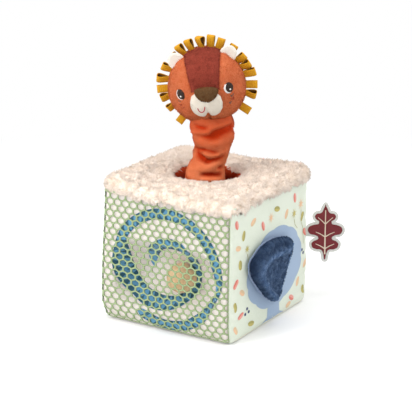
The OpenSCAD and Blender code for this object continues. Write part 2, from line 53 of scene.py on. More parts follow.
# The cube's covers: half width, the front and back faces, and the height under the fur
HALF_X = 75.3
FRONT_Y, BACK_Y = -78.6, 75.3
HALF_Y = (BACK_Y - FRONT_Y) / 2
MID_Y = (BACK_Y + FRONT_Y) / 2
COVER_H = 140.0
# The rounds of its upright corners and of its foot, the width of a seam's groove, and the
# thickness of its cotton
CORNER_R, FOOT_R = 8.0, 7.0
SEAM_W = 1.3
COTTON = 0.8
# How far a cover swells over its foam, puckers near its seams, waves, and is drawn in at a seam
SWELL, PUCKER, WAVES, SEAM_DEEP = 1.5, 1.9, 1.2, 1.0
# How far the soft cube has slumped to the left and forwards, low down
SLUMP_LEFT, SLUMP_AHEAD = 4.4, 2.4
# The axis of spring, neck and head, the neck's foot and its top, and how far the head goes down
AXIS = Vector((0.0, -1.5, 0.0))
NECK_LOW, NECK_TOP = 21.5, 210.3
# The head: its middle, its radius across and half its depth, and how it is turned and tilted
HEAD = Vector((0.0, -1.5, 237.05))
HEAD_R, HEAD_DEEP = 37.75, 32.0
HEAD_YAW, HEAD_ROLL = math.radians(29), math.radians(-8)


# ---------------------------------------------------------------- camera, light and floor

# Where the camera stands: round from the net's side, up, and away from what it looks at, in metres
CAMERA_TURN, CAMERA_TILT = math.radians(32), math.radians(17.7)
CAMERA_AIM = Vector((-0.0021, 0, 0.110))
CAMERA_AWAY = 1.8
CAMERA_LENS = 155.1
# The white sweep: its glow near the toy, and from where to where it turns to bare white, in metres
PAPER_GLOW = 0.1
PAPER_FADE = (0.25, 0.7)
PAPER_SIZE = 6.0
ROOM_LIGHT = 0.66


def place(name, data):
    """A new object in the scene."""
    made = bpy.data.objects.new(name, data)
    bpy.context.collection.objects.link(made)
    return made


def make_camera():
    """The long lens that looks at the corner between the net and the flap, from a little above."""
    back = Vector((math.sin(CAMERA_TURN) * math.cos(CAMERA_TILT),
        -math.cos(CAMERA_TURN) * math.cos(CAMERA_TILT), math.sin(CAMERA_TILT)))
    camera = place("camera", bpy.data.cameras.new("camera"))
    camera.data.sensor_width = 36
    camera.data.lens = CAMERA_LENS
    camera.location = CAMERA_AIM + back * CAMERA_AWAY
    camera.rotation_euler = (-back).to_track_quat("-Z", "Y").to_euler()
    camera.data.clip_end = 30
    bpy.context.scene.camera = camera


def make_lamp(name, at, power, size):
    """A square soft lamp, in metres and watts, that shines on the middle of the toy."""
    lamp = place(name, bpy.data.lights.new(name, "AREA"))
    lamp.data.energy = power
    lamp.data.size = size
    lamp.location = at
    aim = Vector((0, 0, 0.12)) - Vector(at)
    lamp.rotation_euler = aim.to_track_quat("-Z", "Y").to_euler()


def srgb(code):
    """A colour written as sRGB hex, as linear red, green, blue and alpha."""
    parts = [int(code[i:i + 2], 16) / 255 for i in (1, 3, 5)]
    linear = [c / 12.92 if c <= 0.04045 else ((c + 0.055) / 1.055) ** 2.4 for c in parts]
    return (*linear, 1.0)


def add_node(tree, kind, links=(), **settings):
    """Adds a shader node with its settings. Links fill its inputs, each with a value, a colour's
    hex code, another node's output, or a node for its first output."""
    node = tree.nodes.new("ShaderNode" + kind)
    for name, value in settings.items():
        setattr(node, name, value)
    for name, value in dict(links).items():
        if isinstance(value, bpy.types.Node):
            value = value.outputs[0]
        if isinstance(value, bpy.types.NodeSocket):
            tree.links.new(value, node.inputs[name])
        else:
            node.inputs[name].default_value = srgb(value) if isinstance(value, str) else value
    return node


def new_tree(name):
    """A new material, and its empty node tree."""
    material = bpy.data.materials.new(name)
    material.use_nodes = True
    material.node_tree.nodes.clear()
    return material, material.node_tree


def seen_rays(tree):
    """Whether a ray comes from the camera, straight or by way of a shiny or clear surface."""
    ray = add_node(tree, "LightPath")
    seen = ray.outputs["Is Camera Ray"]
    for other in ("Is Glossy Ray", "Is Transmission Ray"):
        seen = add_node(tree, "Math", {0: seen, 1: ray.outputs[other]}, operation="MAXIMUM")
    return seen


def make_floor():
    """A white sweep: it shows white to the camera, and keeps the soft shadow round the cube."""
    material, tree = new_tree("studio_paper")
    paper = add_node(tree, "BsdfDiffuse", {"Color": "#F2F2F2"})
    glow = add_node(tree, "Emission", {"Color": "#FFFFFF", "Strength": PAPER_GLOW})
    near = add_node(tree, "AddShader", {0: paper, 1: glow})
    far = add_node(tree, "Emission", {"Color": "#FFFFFF", "Strength": 1.0})
    spot = add_node(tree, "NewGeometry").outputs["Position"]
    away = add_node(tree, "VectorMath", {0: spot}, operation="LENGTH").outputs["Value"]
    fade = add_node(tree, "MapRange", {"Value": away, "From Min": PAPER_FADE[0],
        "From Max": PAPER_FADE[1]})
    shown = add_node(tree, "MixShader", {0: fade, 1: near, 2: far})
    sweep = add_node(tree, "MixShader", {0: seen_rays(tree), 1: paper, 2: shown})
    add_node(tree, "OutputMaterial", {"Surface": sweep})
    mesh = bpy.data.meshes.new("floor")
    corners = [(x * PAPER_SIZE, y * PAPER_SIZE, 0) for x, y in ((-1, -1), (1, -1), (1, 1), (-1, 1))]
    mesh.from_pydata(corners, [], [(0, 1, 2, 3)])
    mesh.materials.append(material)
    place("floor", mesh)


def make_world():
    """Soft light from all round, and plain white where the camera sees past the sweep."""
    world = bpy.data.worlds.new("studio")
    bpy.context.scene.world = world
    world.use_nodes = True
    tree = world.node_tree
    tree.nodes.clear()
    soft = add_node(tree, "Background", {"Color": "#FFFFFF", "Strength": ROOM_LIGHT})
    white = add_node(tree, "Background", {"Color": "#FFFFFF", "Strength": 1.0})
    room = add_node(tree, "MixShader", {0: seen_rays(tree), 1: soft, 2: white})
    add_node(tree, "OutputWorld", {"Surface": room})


# ---------------------------------------------------------------- finishes

def let_through(tree, shader, share):
    """Lets a share of the light on its way to other surfaces pass through a thin one."""
    ray = add_node(tree, "LightPath")
    lighting = add_node(tree, "Math", {0: ray.outputs["Is Shadow Ray"], 1: ray.outputs["Is Diffuse Ray"]},
        operation="MAXIMUM")
    passed = add_node(tree, "Math", {0: lighting, 1: share}, operation="MULTIPLY")
    clear = add_node(tree, "BsdfTransparent")
    return add_node(tree, "MixShader", {0: passed, 1: shader, 2: clear})


def patches(tree, size, low=0.3, high=0.7, detail=2.0, rough=0.5):
    """Soft patches of about a size in millimetres. The part of their noise from low to high is
    stretched to the whole range."""
    spot = add_node(tree, "TexCoord").outputs["Object"]
    cloud = add_node(tree, "TexNoise", {"Vector": spot, "Scale": 1000 / size, "Detail": detail,
        "Roughness": rough})
    return add_node(tree, "MapRange", {"Value": cloud, "From Min": low, "From Max": high})


# Sizes in cloth, in millimetres: the thick places in its threads, and the patches of its dye
SLUB, DYE_PATCH = 1.6, 28


def woven(name, colour, shade, thread=0.9):
    """A plain weave: crossed threads some millimetres apart, and a faint unevenness in the dye.
    The threads are drawn about three times as coarse as poplin's, so that they show."""
    material, tree = new_tree(name)
    spot = add_node(tree, "TexCoord").outputs["Object"]
    scaled = add_node(tree, "VectorMath", {0: spot, "Scale": 2 * math.pi * 1000 / thread},
        operation="SCALE")
    waves = add_node(tree, "VectorMath", {0: scaled}, operation="SINE")
    weave = add_node(tree, "VectorMath", {0: waves, 1: (0.33, 0.33, 0.33)}, operation="DOT_PRODUCT")
    slub = add_node(tree, "TexNoise", {"Vector": spot, "Scale": 1000 / SLUB})
    height = add_node(tree, "Math", {0: weave.outputs["Value"], 1: slub}, operation="ADD")
    bump = add_node(tree, "Bump", {"Height": height, "Strength": 0.5, "Distance": 0.12 * MM})
    fleck = add_node(tree, "MapRange", {"Value": slub, "From Min": 0.3, "From Max": 0.7})
    dye = patches(tree, DYE_PATCH, 0.35, 0.65, 3.0)
    share = add_node(tree, "Math", {0: fleck, 1: dye}, operation="MULTIPLY")
    dyed = add_node(tree, "Mix", {"Factor": share, 6: colour, 7: shade}, data_type="RGBA").outputs[2]
    cloth = add_node(tree, "BsdfPrincipled", {"Base Color": dyed, "Roughness": 0.9,
        "Sheen Weight": 0.15, "Sheen Roughness": 0.6, "Normal": bump})
    add_node(tree, "OutputMaterial", {"Surface": cloth})
    return material


def pile(name, light, dark, tuft, patch, depth, sheen, deep=None):
    """Cut pile that stands up from its backing: tufts of a size, brushed patches where it lies
    over, and where deep is given, painted shade in that colour down in the folds and other hollows."""
    material, tree = new_tree(name)
    tufts = patches(tree, tuft, 0.3, 0.7, 3.0, 0.65)
    share = add_node(tree, "Math", {0: tufts, 1: patches(tree, patch)}, operation="MULTIPLY")
    colour = add_node(tree, "Mix", {"Factor": share, 6: light, 7: dark}, data_type="RGBA").outputs[2]
    # Painted shade: the pile turns towards the deep colour in folds and hollows, by a value from 0 to 1
    # stored on the mesh
    if deep:
        painted_shade = add_node(tree, "Attribute", attribute_name="painted_shade").outputs["Fac"]
        colour = add_node(tree, "Mix", {"Factor": painted_shade, 6: colour, 7: deep}, data_type="RGBA").outputs[2]
    bump = add_node(tree, "Bump", {"Height": tufts, "Strength": 0.6, "Distance": depth * MM})
    plush = add_node(tree, "BsdfPrincipled", {"Base Color": colour, "Roughness": 1.0,
        "Sheen Weight": sheen, "Sheen Roughness": 0.45, "Sheen Tint": light,
        "Specular IOR Level": 0.2, "Normal": bump})
    add_node(tree, "OutputMaterial", {"Surface": plush})
    return material


def thread_finish(name, light, dark, pitch, gloss=0.55):
    """Satin stitch or twisted thread: fine parallel strands with a low silky shine."""
    material, tree = new_tree(name)
    spot = add_node(tree, "TexCoord").outputs["Object"]
    strands = add_node(tree, "TexWave", {"Vector": spot, "Scale": 1000 / pitch / (2 * math.pi),
        "Distortion": 1.5, "Detail": 1.0}).outputs["Fac"]
    colour = add_node(tree, "Mix", {"Factor": strands, 6: dark, 7: light}, data_type="RGBA").outputs[2]
    bump = add_node(tree, "Bump", {"Height": strands, "Strength": 0.5, "Distance": 0.2 * MM})
    thread = add_node(tree, "BsdfPrincipled", {"Base Color": colour, "Roughness": gloss,
        "Specular IOR Level": 0.25, "Normal": bump})
    add_node(tree, "OutputMaterial", {"Surface": thread})
    return material


def hard_finish(name, light, dark, grain, roughness, depth, metallic=0.0, stretch=(1, 1, 1)):
    """A stiff material with a grain of a size, stretched along one way where it is drawn or sawn."""
    material, tree = new_tree(name)
    spot = add_node(tree, "TexCoord").outputs["Object"]
    drawn = add_node(tree, "Mapping", {"Vector": spot, "Scale": stretch})
    grains = add_node(tree, "TexNoise", {"Vector": drawn, "Scale": 1000 / grain, "Detail": 4.0})
    fine = add_node(tree, "MapRange", {"Value": grains, "From Min": 0.3, "From Max": 0.7})
    rough = add_node(tree, "MapRange", {"Value": fine, "To Min": roughness * 0.85,
        "To Max": roughness * 1.15})
    colour = add_node(tree, "Mix", {"Factor": fine, 6: light, 7: dark}, data_type="RGBA").outputs[2]
    bump = add_node(tree, "Bump", {"Height": fine, "Strength": 0.4, "Distance": depth * MM})
    solid = add_node(tree, "BsdfPrincipled", {"Base Color": colour, "Roughness": rough,
        "Metallic": metallic, "Normal": bump})
    add_node(tree, "OutputMaterial", {"Surface": solid})
    return material


def tuft_finish(name, root, tip, warm, deep=None, patch=9, low=0.42, high=0.75, scatter=0.0):
    """Pile strand by strand: a darker colour at the roots, which is painted shade down among the strands,
    and another at the tips, some patches warmer than others, and where deep is given painted shade in
    that colour down in the folds. Most of the light goes on through a strand to those under it, as it
    does through fine hair. Scatter is the share that spreads from strand to strand, which keeps pale fur
    free of dark gaps."""
    material, tree = new_tree(name)
    along = add_node(tree, "Attribute", attribute_name="along").outputs["Fac"]
    clump = patches(tree, patch, low, high)
    colour = add_node(tree, "Mix", {"Factor": clump, 6: tip, 7: warm}, data_type="RGBA").outputs[2]
    # Painted shade: the roots take a darker colour than the tips
    colour = add_node(tree, "Mix", {"Factor": along, 6: root, 7: colour}, data_type="RGBA").outputs[2]
    # Painted shade in folds and hollows, as in pile()
    if deep:
        painted_shade = add_node(tree, "Attribute", attribute_name="painted_shade").outputs["Fac"]
        colour = add_node(tree, "Mix", {"Factor": painted_shade, 6: colour, 7: deep}, data_type="RGBA").outputs[2]
    strand = add_node(tree, "BsdfPrincipled", {
        "Base Color": colour, "Roughness": 0.9, "Specular IOR Level": 0.15, "Sheen Weight": 0.2,
        "Sheen Roughness": 0.4, "Sheen Tint": tip, "Subsurface Weight": scatter,
        "Subsurface Scale": 3 * MM, "Subsurface Radius": (1.0, 0.9, 0.8)}, subsurface_method="BURLEY")
    add_node(tree, "OutputMaterial", {"Surface": let_through(tree, strand, 0.93)})
    return material


def net_finish(name):
    """Knitted polyester net: each thread is pale in the middle and painted dark green at its sides,
    as shade on a round thread, and loose enough for most of the light to pass."""
    material, tree = new_tree(name)
    edge = add_node(tree, "Attribute", attribute_name="edge").outputs["Fac"]
    stitch = patches(tree, 1.1, 0.35, 0.65)
    colour = add_node(tree, "Mix", {"Factor": stitch, 6: "#AFC192", 7: "#9BB07D"},
        data_type="RGBA").outputs[2]
    # Painted shade: the thread's sides darker, as on a round thread turned away from the light
    colour = add_node(tree, "Mix", {"Factor": edge, 6: colour, 7: "#5A7345"}, data_type="RGBA").outputs[2]
    bump = add_node(tree, "Bump", {"Height": stitch, "Strength": 0.6, "Distance": 0.3 * MM})
    knit = add_node(tree, "BsdfPrincipled", {"Base Color": colour, "Roughness": 0.8,
        "Sheen Weight": 0.2, "Normal": bump})
    add_node(tree, "OutputMaterial", {"Surface": let_through(tree, knit, 0.7)})
    return material


# ---------------------------------------------------------------- making meshes

def quads(rows, cols, wrap_rows=False, wrap_cols=False):
    """Faces of a grid of points, row by row, closed on itself where wrapped."""
    faces = []
    for i in range(rows if wrap_rows else rows - 1):
        for j in range(cols if wrap_cols else cols - 1):
            a, b = i * cols + j, i * cols + (j + 1) % cols
            up = (i + 1) % rows * cols
            faces.append((a, b, up + (j + 1) % cols, up + j))
    return faces


def flipped(faces):
    """The same faces, turned to look the other way."""
    return [f[::-1] for f in faces]


def piece(name, points, faces, materials, body, slot, nodes=(), smooth=True, values=None):
    """A mesh in millimetres as a named piece that rides on a body and stands for CAD nodes.
    Values are per point, for a material to read."""
    mesh = bpy.data.meshes.new(name)
    mesh.from_pydata((np.asarray(points, float) * MM).tolist(), [], [tuple(map(int, f)) for f in faces])
    mesh.update()
    for material in materials if isinstance(materials, (list, tuple)) else [materials]:
        mesh.materials.append(material)
    for key, data in (values or {}).items():
        mesh.attributes.new(key, "FLOAT", "POINT").data.foreach_set("value", np.asarray(data, np.float32))
    if smooth:
        mesh.shade_smooth()
    made = place(name, mesh)
    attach(made, body)
    if nodes:
        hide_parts(*nodes)
    return made


def thicken(made, thickness, offset=-1.0, subdivide=0, inner=0):
    """Gives a sheet its thickness, and rounds it when subdivide is given. Inner is the material of the
    far face.
    """
    solid = made.modifiers.new("thickness", "SOLIDIFY")
    solid.thickness = thickness * MM
    solid.offset = offset
    solid.material_offset = inner
    if subdivide:
        rounded = made.modifiers.new("rounding", "SUBSURF")
        rounded.levels = rounded.render_levels = subdivide


def wander(points, size, seed):
    """Smooth noise from -1 to 1 at each of many points, with features of a size."""
    shift = Vector((seed * 17.3, seed * 5.1, seed * 11.7))
    return np.array([noise.noise(Vector(p) / size + shift) for p in points])


def smooth_step(value, low, high):
    """Rises smoothly from 0 at the low value to 1 at the high one."""
    t = np.clip((np.asarray(value, float) - low) / (high - low), 0, 1)
    return t * t * (3 - 2 * t)


def smooth_rows(values, times):
    """Evens out a row of values, keeping its ends."""
    for _ in range(times):
        values[1:-1] = (values[:-2] + 2 * values[1:-1] + values[2:]) / 4
    return values


def hill(value, width):
    """A smooth hill, 1 high at 0, that falls away over a width."""
    return np.exp(-(np.asarray(value, float) / width) ** 2)


def unit(rows):
    """Rows of vectors, each made one long."""
    return rows / np.linalg.norm(rows, axis=1)[:, None]


def full_turn(count):
    """Even directions all the way round, in radians."""
    return np.linspace(0, 2 * math.pi, count + 1)[:-1]


def closed_curve(corners, count):
    """A smooth closed line through corners, as evenly many points."""
    corners = np.asarray(corners, float)
    n = len(corners)
    t = np.arange(count) * n / count
    i = t.astype(int) % n
    f = (t - t.astype(int))[:, None]
    a, b, c, d = (corners[(i + k) % n] for k in (-1, 0, 1, 2))
    return 0.5 * (2 * b + (c - a) * f + (2 * a - 5 * b + 4 * c - d) * f ** 2
        + (3 * b - 3 * c + d - a) * f ** 3)


def tube(path, radius, sides):
    """Points and faces of a round tube along a path, closed at both ends."""
    path = np.asarray(path, float)
    n = len(path)
    ahead = np.roll(path, -1, 0) - np.roll(path, 1, 0)
    ahead[0], ahead[-1] = path[1] - path[0], path[-1] - path[-2]
    ahead = unit(ahead)
    side = np.zeros_like(path)
    side[0] = np.cross(ahead[0], (0.13, 0.21, 0.97) if abs(ahead[0][2]) < 0.9 else (1, 0, 0))
    side[0] /= np.linalg.norm(side[0])
    for k in range(1, n):
        side[k] = side[k - 1] - ahead[k] * (side[k - 1] @ ahead[k])
        side[k] /= np.linalg.norm(side[k])
    third = np.cross(ahead, side)
    radius = np.broadcast_to(np.asarray(radius, float), n)
    turn = 2 * np.pi * np.arange(sides) / sides
    points = (path[:, None] + radius[:, None, None] * (np.cos(turn)[None, :, None] * side[:, None]
        + np.sin(turn)[None, :, None] * third[:, None])).reshape(-1, 3)
    ends = [tuple(range(sides))[::-1], tuple(range((n - 1) * sides, n * sides))]
    return points, quads(n, sides, False, True) + ends


def domed(rows, top):
    """Rows of points, each a ring, closed by a fan of faces round a last point."""
    count = len(rows[0])
    last = (len(rows) - 1) * count
    fan = [(last + j, last + (j + 1) % count, len(rows) * count) for j in range(count)]
    return np.concatenate([*rows, np.reshape(top, (1, 3))]), quads(len(rows), count, False, True) + fan


def join_parts(parts):
    """Several (points, faces) as one."""
    points, faces, count = [], [], 0
    for p, f in parts:
        points.append(np.asarray(p, float))
        faces += [tuple(i + count for i in face) for face in f]
        count += len(p)
    return np.concatenate(points), faces


TUFTS = 1.0
# A strand's rings: how far along it and how wide, then its corners across it and off its flat side
STRAND_RINGS = ((0.0, 0.8), (0.6, 0.75))
STRAND_CORNERS = ((0, 0.55), (-0.95, -0.2), (0.95, -0.2))
STRAND_FACES = ((0, 1, 4, 3), (1, 2, 5, 4), (2, 0, 3, 5), (3, 4, 6), (4, 5, 6), (5, 3, 6))


def grow_pile(name, surface, count, length, width, finish, body, slot, raised, lean=3.4, droop=0.0,
        clump=7.5, brushed=0.2, folds=None):
    """Tufts on a surface of points and faces: pointed three-sided strands, flat side outwards,
    that lie over with their clump, with painted shade towards their roots. They are lit as the brushed
    surface is, raised a little towards the light. Folds are values of painted shade at the surface's
    points, from 0 to 1, that the strands take over."""
    points, faces = surface
    corners = np.array([t for f in faces for t in ((f[0], f[1], f[2]), (f[0], f[2], f[-1]))[:len(f) - 2]])
    a, b, c = (np.asarray(points)[corners[:, k]] for k in range(3))
    cross = np.cross(b - a, c - a)
    area = np.linalg.norm(cross, axis=1)
    count = int(count * TUFTS)
    pick = RNG.choice(len(area), count, p=area / area.sum())
    f, g = RNG.random((2, count, 1))
    f, g = np.where(f + g > 1, 1 - f, f), np.where(f + g > 1, 1 - g, g)
    root = a[pick] + (b - a)[pick] * f + (c - a)[pick] * g
    up = cross[pick] / area[pick][:, None]
    field = np.stack([wander(root, clump, s) for s in (1.0, 2.0, 3.0)], 1)
    field += 0.5 * np.stack([wander(root, clump / 3, s) for s in (4.0, 5.0, 6.0)], 1)
    over = field * lean + RNG.normal(0, 0.13 * lean, (count, 3))
    over -= up * (over * up).sum(1)[:, None]
    ahead = up + over + np.array([0, 0, -1.0]) * droop
    ahead = unit(ahead)
    long = length * (0.75 + 0.5 * RNG.random((count, 1))) * (1 + 0.5 * field[:, :1])
    side = np.cross(ahead, up + 0.25 * RNG.normal(size=(count, 3)))
    side = unit(side)
    third = np.cross(ahead, side)
    bow = over * 0.06 * lean / 3.4 - up * 0.12 + np.array([0, 0, -0.1])
    rings, along = [], []
    for t, w in STRAND_RINGS:
        mid = root + ahead * long * t + bow * long * t * t
        for across, deep in STRAND_CORNERS:
            rings.append(mid + (side * across + third * deep) * w * width / 2)
            along.append(np.full(count, t))
    rings.append(root + (ahead + bow) * long)
    along.append(np.ones(count))
    strands = np.stack(rings, 1).reshape(-1, 3)
    base = np.arange(count)[:, None] * 7
    sides = [f for k in STRAND_FACES for f in (base + k).tolist()]
    lie = up * 0.8 + ahead * 0.2 + field * brushed + np.array([0, 0, raised])
    lie = unit(lie)
    # Painted shade: strands darker towards their roots, down among the others
    shade = np.clip(np.stack(along, 1).ravel() * 1.25 + np.repeat(RNG.normal(0, 0.18, count), 7), 0, 1)
    values = {"along": shade}
    # Each strand takes the painted shade of the surface under its root
    if folds is not None:
        share = np.concatenate([1 - f - g, f, g], 1)
        values["painted_shade"] = np.repeat((np.asarray(folds)[corners[pick]] * share).sum(1), 7)
    made = piece(name, strands, sides, finish, body, slot, values=values)
    made.data.normals_split_custom_set_from_vertices(np.repeat(lie, 7, 0).tolist())
    return made


# ---------------------------------------------------------------- the cube's covers

def plan(side, s, out):
    """Point on the cube's plan; s runs from -1 to 1 across a side, from seam to seam, and out
    is how far the point lies outside the cover."""
    half, deep = (HALF_X, HALF_Y) if side in (FRONT, BACK) else (HALF_Y, HALF_X)
    flat = half - CORNER_R
    along = np.abs(s) * side_run(side)
    bend = np.maximum(along - flat, 0) / CORNER_R
    x = np.sign(s) * (np.minimum(along, flat) + (CORNER_R + out) * np.sin(bend))
    y = -(deep - CORNER_R + (CORNER_R + out) * np.cos(bend))
    turn = math.pi / 2 * side
    return x * math.cos(turn) - y * math.sin(turn), x * math.sin(turn) + y * math.cos(turn) + MID_Y


def side_run(side):
    """Half the way across a side, from its middle to a seam."""
    half = HALF_X if side in (FRONT, BACK) else HALF_Y
    return half - CORNER_R + CORNER_R * math.pi / 4


def slumped(points):
    """The soft cube bulges low down, to the left and a little forwards."""
    x, y, z = points[..., 0], points[..., 1], points[..., 2]
    low = smooth_step(z, 0, 20) * (1 - smooth_step(z, 30, 150))
    left = SLUMP_LEFT * low * smooth_step(-x, 5, 80)
    ahead = SLUMP_AHEAD * low * smooth_step(-y, 20, 80)
    return np.stack([x - left, y - ahead, z], -1)


def wall(side, across, z, out=0.0, creased=True):
    """Point on a cover at a distance across from its middle and a height."""
    across, z = np.broadcast_arrays(np.asarray(across, float), np.asarray(z, float))
    run = side_run(side)
    s = across / run
    to_seam = run - np.abs(across)
    sunk = np.clip((FOOT_R - z) / FOOT_R, 0, 1)
    lift = -FOOT_R * (1 - np.sqrt(np.clip(1 - sunk ** 2, 0, 1)))
    lift = lift + SWELL * (1 - s ** 4) * np.sin(np.pi * np.clip(z / COVER_H, 0, 1)) ** 0.7
    lift = lift - SEAM_DEEP * hill(to_seam, SEAM_W)
    if creased:
        flat = np.stack([across.ravel(), z.ravel(), np.full(across.size, 31.0 * side)], 1)
        pucker = wander(flat * (0.16, 1, 1), 5.2, side + 1)
        waves = wander(flat * (1, 0.7, 1), 38, side + 5)
        uneven = (PUCKER * pucker * np.exp(-to_seam.ravel() / 13) + WAVES * waves).reshape(z.shape)
        lift = lift + uneven * smooth_step(z, 1, 9) * smooth_step(to_seam, 0, 6)
    x, y = plan(side, s, lift + out)
    return slumped(np.stack([x, y, z], -1))


def make_cover(name, side):
    """The cloth over one side's foam, from the floor to under the fur."""
    run = side_run(side)
    across = np.sin(np.linspace(-1, 1, 111) * math.pi / 2 * 0.8) / math.sin(math.pi / 2 * 0.8) * run
    heights = np.concatenate([FOOT_R * (1 - np.cos(np.linspace(0, math.pi / 2, 9)[:-1])),
        np.linspace(FOOT_R, COVER_H, 92)])
    points = wall(side, across[None, :], heights[:, None])
    made = piece(name, points.reshape(-1, 3), quads(len(heights), len(across)), MINT, "box",
        "mint_cloth", [name])
    thicken(made, COTTON)


def make_base():
    """The base cloth: flat under the cube, drawn in to the seam that runs round it."""
    ring = []
    for side in (FRONT, RIGHT, BACK, LEFT):
        run = side_run(side)
        across = np.linspace(-run, run, 41)[:-1]
        x, y = plan(side, across / run, -FOOT_R + 0.3)
        ring.append(np.stack([x, y], 1))
    ring = np.concatenate(ring)
    middle = np.array([0.0, MID_Y])
    rows = []
    for share, z in ((1.0, 1.0), (0.992, 0.35), (0.975, 0.1), (0.9, 0.02), (0.7, 0.0), (0.4, 0.0),
            (0.1, 0.0)):
        flat = middle + (ring - middle) * share
        rows.append(np.column_stack([flat, np.full(len(flat), z)]))
    made = piece("base_cover", *domed(rows, (0.0, MID_Y, 0.0)), MINT, "box", "mint_cloth",
        ["base_cover"])
    thicken(made, COTTON)


def cut_small(outlines, step):
    """Flat outlines as points and faces, cut along lines a step apart so that they can be bent."""
    bm = bmesh.new()
    for outline in outlines:
        bm.faces.new([bm.verts.new((u, v, 0)) for u, v in outline])
    bm.normal_update()
    bmesh.ops.triangulate(bm, faces=bm.faces[:])
    low = np.min([v.co for v in bm.verts], 0)
    high = np.max([v.co for v in bm.verts], 0)
    for axis in (0, 1):
        normal = Vector((axis == 0, axis == 1, 0))
        for at in np.arange(math.ceil(low[axis] / step), high[axis] / step):
            bmesh.ops.bisect_plane(bm, geom=bm.verts[:] + bm.edges[:] + bm.faces[:],
                plane_co=normal * at * step, plane_no=normal, dist=1e-4)
    bm.verts.index_update()
    flat = np.array([v.co for v in bm.verts])
    faces = [tuple(v.index for v in f.verts) if f.normal.z >= 0
        else tuple(v.index for v in f.verts)[::-1] for f in bm.faces]
    bm.free()
    return flat[:, :2], faces


def lay_print(name, outlines, finish, surface, step=3.5, slot="mint_cloth"):
    """Printed shapes on a cover."""
    flat, faces = cut_small(outlines, step)
    piece(name, surface(*flat.T), faces, finish, "box", slot)


def leaf_halves(u, v, length, width, turn):
    """A leaf as its two halves, either side of the midrib."""
    t = np.linspace(0, math.pi, 9)
    edge = width / 2 * np.sin(t) ** 0.85
    along = -length / 2 * np.cos(t)
    halves = []
    for s in (-1, 1):
        x = np.concatenate([s * edge, [0, 0, 0]])
        y = np.concatenate([along, along[[6, 4, 2]]])
        halves.append([(u + a * math.cos(turn) - b * math.sin(turn),
            v + a * math.sin(turn) + b * math.cos(turn)) for a, b in zip(x, y)])
    return halves


def star(u, v, size, turn):
    """A flower of eight pointed rays."""
    a = turn + math.pi * np.arange(16) / 8
    r = np.where(np.arange(16) % 2, size * 0.3, size)
    return np.stack([u + r * np.cos(a), v + r * np.sin(a)], 1)


def stroke(points, width):
    """A line of a width as an outline, tapering to its end."""
    points = np.asarray(points, float)
    ahead = np.gradient(points, axis=0)
    ahead = unit(ahead)
    side = np.stack([-ahead[:, 1], ahead[:, 0]], 1)
    half = (width / 2 * np.linspace(1, 0.5, len(points)))[:, None]
    return np.concatenate([points + side * half, (points - side * half)[::-1]])


make_camera()
make_floor()
make_world()
make_lamp("key", (-1.0, -1.6, 1.45), 26, 1.0)
make_lamp("overhead", (0.15, -0.15, 1.75), 13, 1.1)
make_lamp("rim", (1.4, 0.9, 1.2), 8, 1.2)

# Cotton poplin, printed: a close plain weave with no shine
MINT = woven("mint_poplin", "#E3EADA", "#DBE4D0")
PERIWINKLE = woven("periwinkle_print", "#A0B6D0", "#97ADC8")
PANEL = woven("cream_poplin", "#F3EAE3", "#EBE1D9")
SKY = woven("sky_print", "#5F9CC2", "#5590B6")
TEAL = woven("teal_print", "#285E74", "#225266")
CORAL = woven("coral_print", "#E27F70", "#D86F60")
ROSE = woven("rose_print", "#EBA294", "#E39585")
PEACH = woven("peach_print", "#F0C79E", "#E8BC90")
SAND = woven("sand_print", "#E0C39C", "#D6B78E")
OLIVE = woven("olive_print", "#C5B868", "#B8AB5C")
MOSS = woven("moss_print", "#A9A25A", "#9C954E")
NAVY_PRINT = woven("navy_print", "#34406A", "#2C375E")

# Polyester velour: a short dense pile, painted a deeper, more saturated colour as shade down in its folds
VELOUR = pile("orange_velour", "#FC9060", "#F07A46", tuft=0.9, patch=9, depth=0.5, sheen=0.35,
    deep="#C23203")
# The same velour for the well's lining and the hole's cuff, painted darker as shade inside the well, with
# darker painted shade in its folds
SHADED_LINING = pile("orange_velour_lining_shaded", "#CB5126", "#B03D15", tuft=0.9, patch=8, depth=0.5,
    sheen=0.2, deep="#5A1204")
# Minky plush: a soft cut pile of a few millimetres, brushed every way; its deep colour is painted
# shade along the head's seams, in the muzzle's parting and over the flap, whose ridge is painted lighter
# as a highlight
FACE_PLUSH = pile("orange_minky", "#D4754C", "#C0522C", tuft=1.1, patch=7, depth=0.7, sheen=0.3,
    deep="#9C3512")
STRIPE_PLUSH = pile("rust_minky", "#994132", "#843428", tuft=1.1, patch=8, depth=0.5, sheen=0.3,
    deep="#6E231E")
WHITE_PLUSH = pile("ivory_minky", "#E9DFD0", "#DFD4C3", tuft=1.2, patch=6, depth=0.4, sheen=0.2,
    deep="#D8CDBB")
NOSE_PLUSH = pile("cocoa_minky", "#6C5034", "#523B22", tuft=1.1, patch=5, depth=0.4, sheen=0.15)
NAVY_PLUSH = pile("navy_minky", "#6380AA", "#4E6B94", tuft=1.5, patch=12, depth=1.2, sheen=0.5,
    deep="#1C2C45")
EAR_FELT = pile("cream_felt", "#F1EBE0", "#E8E0D2", tuft=0.8, patch=4, depth=0.25, sheen=0.15)
# Long-haired acrylic fur, pale with warmer shadows in it, and the knitted backing that it grows from
FUR = tuft_finish("cream_fur", "#C6B29E", "#D6CAC0", "#CFC0B2", scatter=0.2)
FUR_BACKING = pile("fur_backing", "#EEDFCE", "#E6D3BE", tuft=2.2, patch=9, depth=1.0, sheen=0.2)
# Knitted polyester net: a pale thread with dark green sides painted on as shade, and the printed panel
# shows through
NET = net_finish("green_net")
